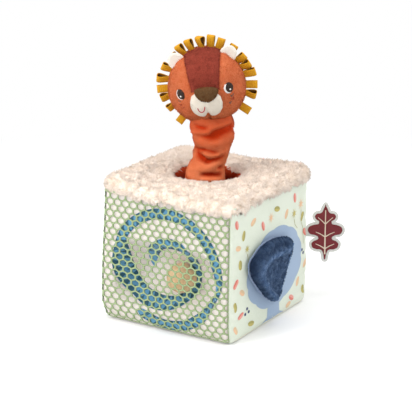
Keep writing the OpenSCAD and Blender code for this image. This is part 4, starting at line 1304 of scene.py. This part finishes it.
def stuffed(points, faces, sewn):
    """Cloth simulation of a stuffed piece of plush: held where it is sewn, and blown out between.
    It runs many times larger, where the solver's stiffness suits plush. Returns the piece's points
    after it, none moved by more than the bulge allowed."""
    grown = TRIAL_SCALE * MM
    mesh = bpy.data.meshes.new("stuffing_trial")
    mesh.from_pydata((points * grown).tolist(), [], faces)
    made = place("stuffing_trial", mesh)
    held = made.vertex_groups.new(name="sewn")
    held.add(np.flatnonzero(sewn).tolist(), 1.0, "REPLACE")
    cloth = made.modifiers.new("stuffing", "CLOTH")
    cloth.settings.vertex_group_mass = "sewn"
    cloth.settings.use_pressure = True
    cloth.settings.uniform_pressure_force = TRIAL_PRESSURE
    cloth.settings.effector_weights.gravity = 0.0
    for at in range(TRIAL_FRAMES):
        bpy.context.scene.frame_set(at + 1)
    blown = made.evaluated_get(bpy.context.evaluated_depsgraph_get()).data
    after = np.array([v.co for v in blown.vertices]) / grown
    bpy.data.objects.remove(made)
    bpy.context.scene.frame_set(1)
    moved = after - points
    far = np.linalg.norm(moved, axis=1)[:, None]
    return points + moved * np.minimum(1, BULGE / np.maximum(far, 1e-6))


def sewn_down(p, faces, pull):
    """Whether points of a piece in the head's frame are held: on its seams, at the neck, or under
    the muzzle, the nose, the eyes and the stitches."""
    ends = [tuple(sorted(e)) for f in faces for e in zip(f, f[1:] + f[:1])]
    edges, uses = np.unique(np.array(ends), axis=0, return_counts=True)
    held = (pull > 0.3) | (p[:, 2] < -30)
    held[edges[uses == 1].ravel()] = True
    for x, z, wide, tall in SEWN_ON:
        held |= (((p[:, 0] - x) / wide) ** 2 + ((p[:, 2] - z) / tall) ** 2 < 1) & (p[:, 1] < 0)
    return held


def make_head():
    """One ball of plush cut along its seams into the stripe, the two cheeks and the back."""
    bm = bmesh.new()
    bmesh.ops.create_cube(bm, size=2.0)
    bmesh.ops.subdivide_edges(bm, edges=bm.edges[:], cuts=35, use_grid_fill=True)
    for v in bm.verts:
        v.co = Vector([math.tan(c * math.pi / 4) for c in v.co])
        v.co = v.co.normalized()
        v.co = Vector([c * r for c, r in zip(v.co, HEAD_RADII)])
    for at, normal in (((0, 0, 0), (0, 1, 0)), ((STRIPE_X, 0, 0), (1, 0, -STRIPE_FLARE)),
            ((-STRIPE_X, 0, 0), (1, 0, STRIPE_FLARE)), ((0, 0, STRIPE_LOW), (0, 0, 1)),
            ((0, 0, 0), (1, 0, 0))):
        bmesh.ops.bisect_plane(bm, geom=bm.verts[:] + bm.edges[:] + bm.faces[:], plane_co=at,
            plane_no=normal, dist=1e-4)
    bm.verts.index_update()
    points = np.array([v.co for v in bm.verts])
    parts = {"face_left": [], "face_right": [], "forehead_stripe": [], "head_back": []}
    for f in bm.faces:
        c = f.calc_center_median()
        if c.y > 0:
            name = "head_back"
        elif c.z > STRIPE_LOW and abs(c.x) < STRIPE_X + STRIPE_FLARE * c.z:
            name = "forehead_stripe"
        else:
            name = "face_left" if c.x < 0 else "face_right"
        parts[name].append(tuple(v.index for v in f.verts))
    bm.free()
    skin, pull = head_skin(points)
    for name, faces in parts.items():
        used = sorted({i for f in faces for i in f})
        number = {old: new for new, old in enumerate(used)}
        plush, strands, slot, tufts = FACE_PLUSH, FACE_PILE, "orange_plush", 2.4 * len(faces)
        if name == "forehead_stripe":
            plush, strands, slot = STRIPE_PLUSH, STRIPE_PILE, "stripe_plush"
            tufts = 60 * len(faces) ** 0.62
        own = [tuple(number[i] for i in f) for f in faces]
        full = stuffed(skin[used], own, sewn_down(skin[used], own, pull[used]))
        # Painted shade in the seams' grooves, where the plush is pulled in
        made = head_piece(name, (full, own), plush, slot, [name], {"painted_shade": 0.55 * pull[used]})
        grow_pile(name + "_pile", (stand_head(full), own), tufts, 1.5, 0.55, strands, "head", slot,
            lean=1.6, clump=5.0, raised=0.1, brushed=0.3)
        thicken(made, 1.2)


def drawn_in(outline, middle, rings, inmost):
    """An outline as rings towards a middle, each with its share of the way out. Inmost is how far
    the last ring stays from the middle, in steps."""
    for k in range(rings + 1):
        share = 1 - k / (rings + inmost)
        yield middle + (outline - middle) * share, share


# The muzzle, seen from the front: its outline across and up, and how far it stands out
MUZZLE_OUTLINE = closed_curve([(-0.6, -20.6), (-4, -22.2), (-9.5, -21.2), (-14.4, -16.6), (-16.2, -10),
    (-14.8, -3.6), (-9.5, 0.4), (0, 1.6), (8, 0), (12.6, -4), (13.9, -10), (12.8, -16.4), (8.8, -21.4),
    (3.6, -22.6)], 84)
MUZZLE_OUT = 7.2


def muzzle_height(x, z):
    """How far the muzzle stands out of the face at a place seen from the front."""
    x, z = np.asarray(x, float), np.asarray(z, float)
    best = np.zeros(np.broadcast(x, z).shape)
    for side, rx in ((-1, 11.5), (1, 12)):
        t = ((x - side * 5.0) / rx) ** 2 + ((z + 12) / 13.5) ** 2
        best = np.maximum(best, MUZZLE_OUT * np.sqrt(np.clip(1 - t, 0, 1)))
    parting = hill(x + 0.2, 1.6) * smooth_step(-z, 15, 23)
    return best * (1 - 0.55 * parting)


def make_muzzle():
    """The stuffed ivory muzzle, parted below the nose and puckered along its seam."""
    middle, count = MUZZLE_OUTLINE.mean(0), len(MUZZLE_OUTLINE)
    rows, edge = [], []
    for flat, share in drawn_in(MUZZLE_OUTLINE, middle, 12, 0.6):
        pucker = 1 + 0.012 * np.sin(np.arange(count) * 2 * math.pi / count * 17) * share ** 4
        flat = middle + (flat - middle) * pucker[:, None]
        lift = np.maximum(muzzle_height(flat[:, 0], flat[:, 1]), 5.5 * (1 - share ** 5) ** 0.5)
        parting = hill(flat[:, 0] + 0.2, 1.5) * smooth_step(-flat[:, 1], 16, 23)
        lift = lift * (1 - 0.6 * parting) - (0.6 if share == 1 else 0)
        # Painted shade along the muzzle's seam
        edge.append(np.full(count, max(0, 1 - len(rows) / 1.5)))
        rows.append(face_at(flat[:, 0], flat[:, 1], lift + 0.1))
    points, faces = domed(rows, face_at(*middle, MUZZLE_OUT))
    # Painted shade in the parting below the nose and along the seam
    parting = hill(points[:, 0] + 0.2, 1.2) * smooth_step(-points[:, 2], 17, 23)
    painted_shade = np.maximum(parting, 0.5 * np.concatenate([*edge, [0]]))
    made = head_piece("muzzle", (points, faces), WHITE_PLUSH, "white_plush", ["muzzle"], {"painted_shade": painted_shade})
    grow_pile("muzzle_pile", (stand_head(points), faces), 5500, 1.1, 0.5, WHITE_PILE, "head",
        "white_plush", lean=1.6, clump=4.0, raised=0.1)


# The nose, in the same way
NOSE_OUTLINE = closed_curve([(1, 5.4), (-4.5, 5.2), (-8.6, 3.9), (-9.6, 1.5), (-8.2, -2.2), (-5, -5.8),
    (0.8, -7.9), (6.5, -6.4), (10.4, -2.8), (12, 0.6), (11.2, 2.8), (7, 4.8)], 60)
NOSE_OUT = 2.6


def nose_ground(x, z):
    """How far out the nose sits on the muzzle's top and the face above it."""
    return np.maximum(muzzle_height(x, np.minimum(z, -5.0)), 3.0)


def make_nose():
    """The cocoa plush nose, stuffed and sewn on over the muzzle's top."""
    middle = NOSE_OUTLINE.mean(0)
    rows = []
    for flat, share in drawn_in(NOSE_OUTLINE, middle, 8, 0.6):
        lift = nose_ground(*flat.T) + NOSE_OUT * (1 - share ** 2.6) ** 0.62 - (1.5 if share == 1 else 0)
        rows.append(face_at(*flat.T, lift))
    points, faces = domed(rows, face_at(*middle, nose_ground(*middle) + NOSE_OUT))
    made = head_piece("nose", (points, faces), NOSE_PLUSH, "nose_plush", ["nose"])
    grow_pile("nose_pile", (stand_head(points), faces), 1800, 0.8, 0.45, NOSE_PILE, "head",
        "nose_plush", lean=1.6, clump=4.0, raised=0.1)


def patch(x, z, half_wide, half_tall, tilt, out, dome=0.5, rings=5, count=36):
    """A stitched oval on the face, slightly domed: its points and faces."""
    turn = full_turn(count)
    rows = []
    for k in range(rings + 1):
        share = 1 - k / (rings + 1)
        a, b = half_wide * share * np.cos(turn), half_tall * share * np.sin(turn)
        u, v = x + a * math.cos(tilt) - b * math.sin(tilt), z + a * math.sin(tilt) + b * math.cos(tilt)
        rows.append(face_at(u, v, out + dome * math.sqrt(1 - share ** 2) if k else out - 0.8))
    return domed(rows, face_at(x, z, out + dome))


def make_eyes():
    """Satin-stitched ovals with a white rim to the left of each and a white glint."""
    dark = [patch(*eye, 1.0) for eye in EYES]
    rims = [patch(x - 0.9, z - 0.5, a + 0.05, b + 0.1, tilt, 0.8, 0.35) for x, z, a, b, tilt in EYES]
    glints = [patch(x + 0.3, z - 1.6, 0.95, 1.0, 0, 1.45, 0.25, 3, 16) for x, z, *_ in EYES]
    head_piece("eyes", join_parts(dark), EYE_THREAD, "eye_thread", ["eyes"])
    head_piece("eye_rims", join_parts(rims), WHITE_THREAD, "eye_thread")
    head_piece("eye_glints", join_parts(glints), WHITE_THREAD, "eye_thread")


# Straight stitches on the cheeks: across, up, turn in degrees, thread
CHEEK_MARKS = ((25.2, -7.4, 35, "grey"), (23.8, -8.4, 120, "grey"), (25.4, -10.8, 70, "rust"),
    (24.4, -11.6, 160, "rust"), (22.2, -14.2, 25, "grey"), (21.4, -15.0, 115, "grey"),
    (-26.4, -7.4, 140, "grey"), (-25.6, -11.4, 60, "rust"), (-26.0, -11.2, 150, "rust"),
    (-23.8, -14.4, 35, "rust"))
# Half a stitch's length, and its thread's radius
STITCH_HALF, STITCH_R = 1.25, 0.42
# The smile: the middle of its curve, its reach across and down, and its thread's radius
SMILE_X, SMILE_Z, SMILE_WIDE, SMILE_DEEP, SMILE_R = -4.9, -11.2, 3.0, 4.8, 0.45


def make_stitches():
    """The smile, one curved red stitch, and the short stitches on the cheeks."""
    turn = np.linspace(math.radians(185), math.radians(362), 22)
    x, z = SMILE_X + SMILE_WIDE * np.cos(turn), SMILE_Z + SMILE_DEEP * np.sin(turn)
    path = face_at(x, z, muzzle_height(x, z) + 0.45)
    smile = tube(path, SMILE_R * np.concatenate([[0.4], np.ones(20), [0.4]]), 8)
    head_piece("smile_stitch", smile, RED_THREAD, "red_thread", ["smile_stitch"])
    t = np.linspace(-1, 1, 7)
    for colour, finish, nodes in (("grey", GREY_THREAD, ["cheek_stitches"]), ("rust", RUST_THREAD, ())):
        parts = []
        for x, z, turn, kind in CHEEK_MARKS:
            if kind == colour:
                u = x + STITCH_HALF * t * math.cos(math.radians(turn))
                v = z + STITCH_HALF * t * math.sin(math.radians(turn))
                parts.append(tube(face_at(u, v, 0.7 * (1 - t ** 2) + 0.5), STITCH_R, 6))
        head_piece(f"cheek_stitches_{colour}", join_parts(parts), finish, "cheek_thread", nodes)


# The ears: radius, thickness, distance from the head's middle, and turn from its top in degrees
EAR_R, EAR_THICK, EAR_UP = 8.4, 3.8, 38.3
EAR_TILTS = (-43, 41)


def make_ears():
    """Round felt ears, sewn into the seam behind the face and standing up in front of the mane."""
    turn = full_turn(48)
    rows = []
    for k in range(15):
        lat = -math.pi / 2 + math.pi * k / 14
        r = EAR_R * math.cos(lat) ** 0.55 if 0 < k < 14 else 0.01
        hollow = 0.9 * max(0.0, -math.sin(lat)) * (1 - (r / EAR_R) ** 2)
        depth = EAR_THICK / 2 * math.sin(lat) + hollow - 4.4
        rows.append(np.stack([r * np.cos(turn), np.full(48, depth), 1.12 * r * np.sin(turn) + EAR_UP], 1))
    ear, faces = np.concatenate(rows), quads(15, 48, False, True)
    parts = [(ear @ np.array(Matrix.Rotation(math.radians(tilt), 3, "Y")).T, faces) for tilt in EAR_TILTS]
    made = head_piece("ears", join_parts(parts), EAR_FELT, "ear_felt", ["ears"])


# The mane: turn from the head's top in degrees, reach, twist about its own length, openness
MANE = ((-136.4, 12.5, 8, 3.4), (-114.8, 11, -40, 5), (-99.6, 12.5, -34, 6), (-88.4, 14, 6, 3.4),
    (-74.7, 14.5, -34, 7), (-59.4, 12.5, -30, 5.5), (-41.5, 10.5, -34, 5.6), (-28.7, 13, -36, 6.4),
    (-15.6, 13, -34, 6.4), (-0.7, 12.8, -46, 8.2), (12.7, 14, -14, 5), (25.5, 12.8, 4, 4.2),
    (42.4, 12.5, 16, 5), (59.1, 12, 22, 5.4), (70.3, 12, 32, 6.4), (81.6, 14, 20, 5.4),
    (97.2, 14, -6, 3.6), (109.5, 14, 36, 7), (130.4, 14.5, -6, 3.4))
# Half the ribbon's width, and its thickness
RIBBON_HALF, RIBBON_THICK = 3.9, 0.7


def make_mane():
    """Loops of ribbon sewn into the seam round the head, each twisted and opened its own way."""
    t = np.linspace(0, 1, 33)
    rise, wide = np.sin(math.pi * t), np.sin(2 * math.pi * t)
    half = np.sign(wide) * np.abs(wide) ** 0.75 * (0.35 + 0.65 * rise ** 0.8)
    parts = []
    for turn, reach, twist, open_by in MANE:
        rows = [np.stack([np.full(33, across), -open_by / 2 * half + 0.25 * np.cos(across) * rise,
            reach * rise ** 0.9], 1) for across in np.linspace(-RIBBON_HALF, RIBBON_HALF, 4)]
        up = Matrix.Rotation(math.radians(turn), 3, "Y")
        spin = np.array(up @ Matrix.Rotation(math.radians(twist), 3, "Z"))
        root = np.array(up @ Vector((0, 1.6, HEAD_R - 1.6)))
        parts.append((np.concatenate(rows) @ spin.T + root, flipped(quads(4, 33))))
    made = head_piece("mane_ribbons", join_parts(parts), [RIBBON, RIBBON_BACK], "ribbon",
        ["mane_ribbons"])
    thicken(made, RIBBON_THICK, inner=1)


make_head()
make_muzzle()
make_nose()
make_eyes()
make_stitches()
make_ears()
make_mane()

# ---------------------------------------------------------------- the flap and the tag

# The flap's outline, as places behind the cube's middle and up, and the line that it is sewn along
FLAP_OUTLINE = closed_curve([(37.7, 66.1), (37.5, 72.7), (31.9, 79.8), (19, 86.5), (-1.3, 91.8),
    (-16.6, 93.7), (-33.5, 92.1), (-45.7, 86.5), (-53.8, 81.7), (-55.3, 73.9), (-51.6, 64.4),
    (-41.3, 52.7), (-29.9, 41.6), (-13.9, 29.9), (-3.8, 25.8), (8.6, 24.1), (15.5, 26.7),
    (17.2, 33.7), (21.7, 40.9), (26.6, 50.2), (32.6, 59.1)], 132)
HINGE_LOW, HINGE_HIGH = np.array((12.5, 27.0)), np.array((38.5, 74.0))


def from_hinge(flat):
    """Distance of places on the flap from the line that it is sewn along."""
    ahead = HINGE_HIGH - HINGE_LOW
    ahead = ahead / np.linalg.norm(ahead)
    return -((flat - HINGE_LOW) @ np.array((ahead[1], -ahead[0])))


# The ridge where the flap's fluffy rim drops to its hollow: direction about the flap's middle in
# degrees, and share of the way from the middle to the rim
RIDGE = np.array([(-180, 0.85), (-160, 0.87), (-130, 0.9), (-100, 0.95), (10, 0.95), (30, 0.85),
    (42, 0.77), (62, 0.66), (84, 0.59), (126, 0.6), (150, 0.7), (160, 0.75), (170, 0.81), (180, 0.85)])


# How far the flap's free side stands off the cube, its rim's thickness, and its pleat's depth
FLAP_STAND, RIM_THICK, PLEAT_DEEP = 3.6, 8.4, 2.2


def make_flap():
    """The navy plush flap: a thick rolled rim about a hollow, its lining, and the hem it hangs by."""
    middle = np.array((6.0, 55.0))
    spoke = FLAP_OUTLINE - middle
    ridge = np.interp(np.degrees(np.arctan2(spoke[:, 1], spoke[:, 0])), RIDGE[:, 0], RIDGE[:, 1])
    front, back, folds = [], [], []
    for flat, share in drawn_in(FLAP_OUTLINE, middle, 26, 0.5):
        away = from_hinge(flat)
        lift = 0.5 + 1.3 * smooth_step(away, 0, 6) + FLAP_STAND * smooth_step(away, 0, 65)
        free = 0.12 + 0.88 * smooth_step(away, 3, 24)
        spot = np.column_stack([flat, np.full(len(flat), 2.0)])
        rolls = wander(spot, 13, 9.0) * 1.3 + wander(spot, 5, 8.0) * 1.5
        outer = np.sqrt(np.clip(1 - ((share - ridge) / (1.001 - ridge)) ** 2, 0, 1))
        inner = 1 - 0.85 * smooth_step(ridge - share, 0, 0.24)
        roll = np.where(share > ridge, outer, inner)
        pleat = -PLEAT_DEEP * hill(flat[:, 1] - 41 + 0.5 * flat[:, 0], 3) * hill(away, 16)
        height = lift + (RIM_THICK + rolls) * roll * free + pleat * (1 - share ** 6)
        height = height + 0.6 * (1 - share ** 8)
        under = np.maximum(lift - 1.8, 0.2)
        height = np.maximum(height, under + 1.7 * smooth_step(away, 0, 4))
        front.append(np.column_stack([HALF_X + 1.5 + height, flat]))
        back.append(np.column_stack([HALF_X + 1.5 + under, flat]))
        # Painted shading: a highlight along the ridge, shade beyond it, at the sewn edge and at the outer
        # rim, lighter where the rim's rolls stand up
        dark = 0.55 - 0.5 * hill(share - ridge, 0.075) * free
        dark = dark + 0.25 * hill(share - ridge - 0.22, 0.12) - 0.16 * rolls * (share > ridge)
        folds.append(np.clip(dark + 0.45 * hill(away, 3.5) + 0.3 * smooth_step(share, 0.92, 1), 0, 1))
    points, faces = domed(front, front[-1].mean(0))
    folds = np.concatenate([*folds, [0.55]])
    made = piece("flap_plush", points, faces, NAVY_PLUSH, "flap", "navy_plush", ["flap_plush"],
        values={"painted_shade": folds})
    thicken(made, 1.4)
    grow_pile("flap_pile", (points, faces), 14000, 1.7, 0.6, NAVY_PILE, "flap", "navy_plush", lean=2.2,
        clump=3.5, raised=0.0, brushed=0.45, folds=folds)
    points, faces = domed(back, back[-1].mean(0))
    lining = piece("flap_lining", points, flipped(faces),
        woven("periwinkle_poplin", "#93A6C8", "#889CC0"), "flap", "blue_cloth", ["flap_lining"])
    thicken(lining, COTTON)
    path = HINGE_LOW + (HINGE_HIGH - HINGE_LOW) * np.linspace(0, 1, 24)[:, None]
    hem = tube(wall(RIGHT, path[:, 0] - MID_Y, path[:, 1], 1.0), 1.5, 10)
    piece("flap_hem", *hem, NAVY_PLUSH, "box", "navy_plush", ["flap_hem"])


# The tag: half of its leaf as places away from the midrib and up, the direction that it stands
# in, the middle of its sewn edge, and how far it reaches
LEAF_HALF = ((0, 31.5), (3.0, 27), (5.2, 22.5), (9.6, 21.5), (12.4, 17.5), (10.8, 13.2), (7.6, 10.6),
    (12.5, 9.4), (17.6, 6.8), (19.4, 1.6), (16.4, -3.4), (10.8, -4.8), (8.4, -6.6), (12.6, -8.6),
    (15.4, -12.4), (14.2, -17.6), (9.6, -20.2), (4.8, -20.6), (3.0, -24.5), (1.8, -30.5))
TAG_TURN = math.radians(32)
TAG_ROOT = np.array((65 + 10.8 * math.cos(TAG_TURN), 65 + 10.8 * math.sin(TAG_TURN), 76.0))
TAG_REACH = 41.0
# How finely it is cut up, so that it can curl
TAG_STEP = 4.0


def leaf_outline(grow, count=160):
    """The leaf's outline, moved outwards by a distance."""
    half = np.array(LEAF_HALF)
    corners = np.concatenate([half, (half * (-1, 1))[1:][::-1]])
    line = closed_curve(corners, count)
    ahead = np.roll(line, -1, 0) - np.roll(line, 1, 0)
    ahead = unit(ahead)
    return line + np.stack([-ahead[:, 1], ahead[:, 0]], 1) * grow


def on_tag(u, v, out):
    """Place on the tag: u from its middle away from the seam, v up, out of its near face."""
    along = u + TAG_REACH / 2
    off = out + 1.6 * np.sin(along / TAG_REACH * 2.4) + 0.5 * np.sin(v / 14)
    x = TAG_ROOT[0] + along * math.cos(TAG_TURN) + off * math.sin(TAG_TURN)
    y = TAG_ROOT[1] + along * math.sin(TAG_TURN) - off * math.cos(TAG_TURN)
    return np.stack([x, y, np.full_like(x, TAG_ROOT[2]) + v], -1)


def make_tag():
    """A leaf cut from stiffened cloth: a pale border, and on both its faces a burgundy leaf with
    cream veins; a row of stitches round its near face."""
    border = woven("border_canvas", "#DCDCD6", "#CFCFC8", thread=1.1)
    burgundy = woven("burgundy_print", "#7C2329", "#6C1D24")
    cream = woven("cream_print", "#EBD9C4", "#DFCBB3")
    root = [(-20.5, -5.0), (-12, -5.0), (-12, 5.0), (-20.5, 5.0)]
    flat, faces = cut_small([leaf_outline(1.0), root], TAG_STEP)
    base = piece("label_tag", on_tag(*flat.T, 0.5), faces, border, "tag", "tag_cloth", ["label_tag"],
        smooth=False)
    thicken(base, 1.0)
    veins = [stroke([(0, -24), (0, 0), (0, 24)], 1.6)]
    for s in (-1, 1):
        veins += [stroke([(0, z0), (s * 5, z0 + 3.2), (s * 9.6, z0 + 5.2)], 1.2) for z0 in (-18, -5)]
        veins.append(stroke([(0, 9), (s * 4, 13), (s * 7.6, 16.2)], 1.1))
    for name, outlines, finish, out in (("tag_leaf_print", [leaf_outline(-1.6)], burgundy, 0.62),
            ("tag_veins_print", veins, cream, 0.74)):
        flat, faces = cut_small(outlines, TAG_STEP)
        sides = [(on_tag(*flat.T, out), faces), (on_tag(*flat.T, -out), flipped(faces))]
        piece(name, *join_parts(sides), finish, "tag", "tag_cloth", smooth=False)
    line = on_tag(*leaf_outline(-0.2, 96).T, 0.62)
    stitches = [tube(np.linspace(line[k], line[k + 1], 4), 0.22, 5) for k in range(0, 96, 2)]
    piece("tag_stitches", *join_parts(stitches), WHITE_THREAD, "tag", "tag_cloth")


make_flap()
make_tag()

bpy.context.scene.view_settings.view_transform = "Standard"
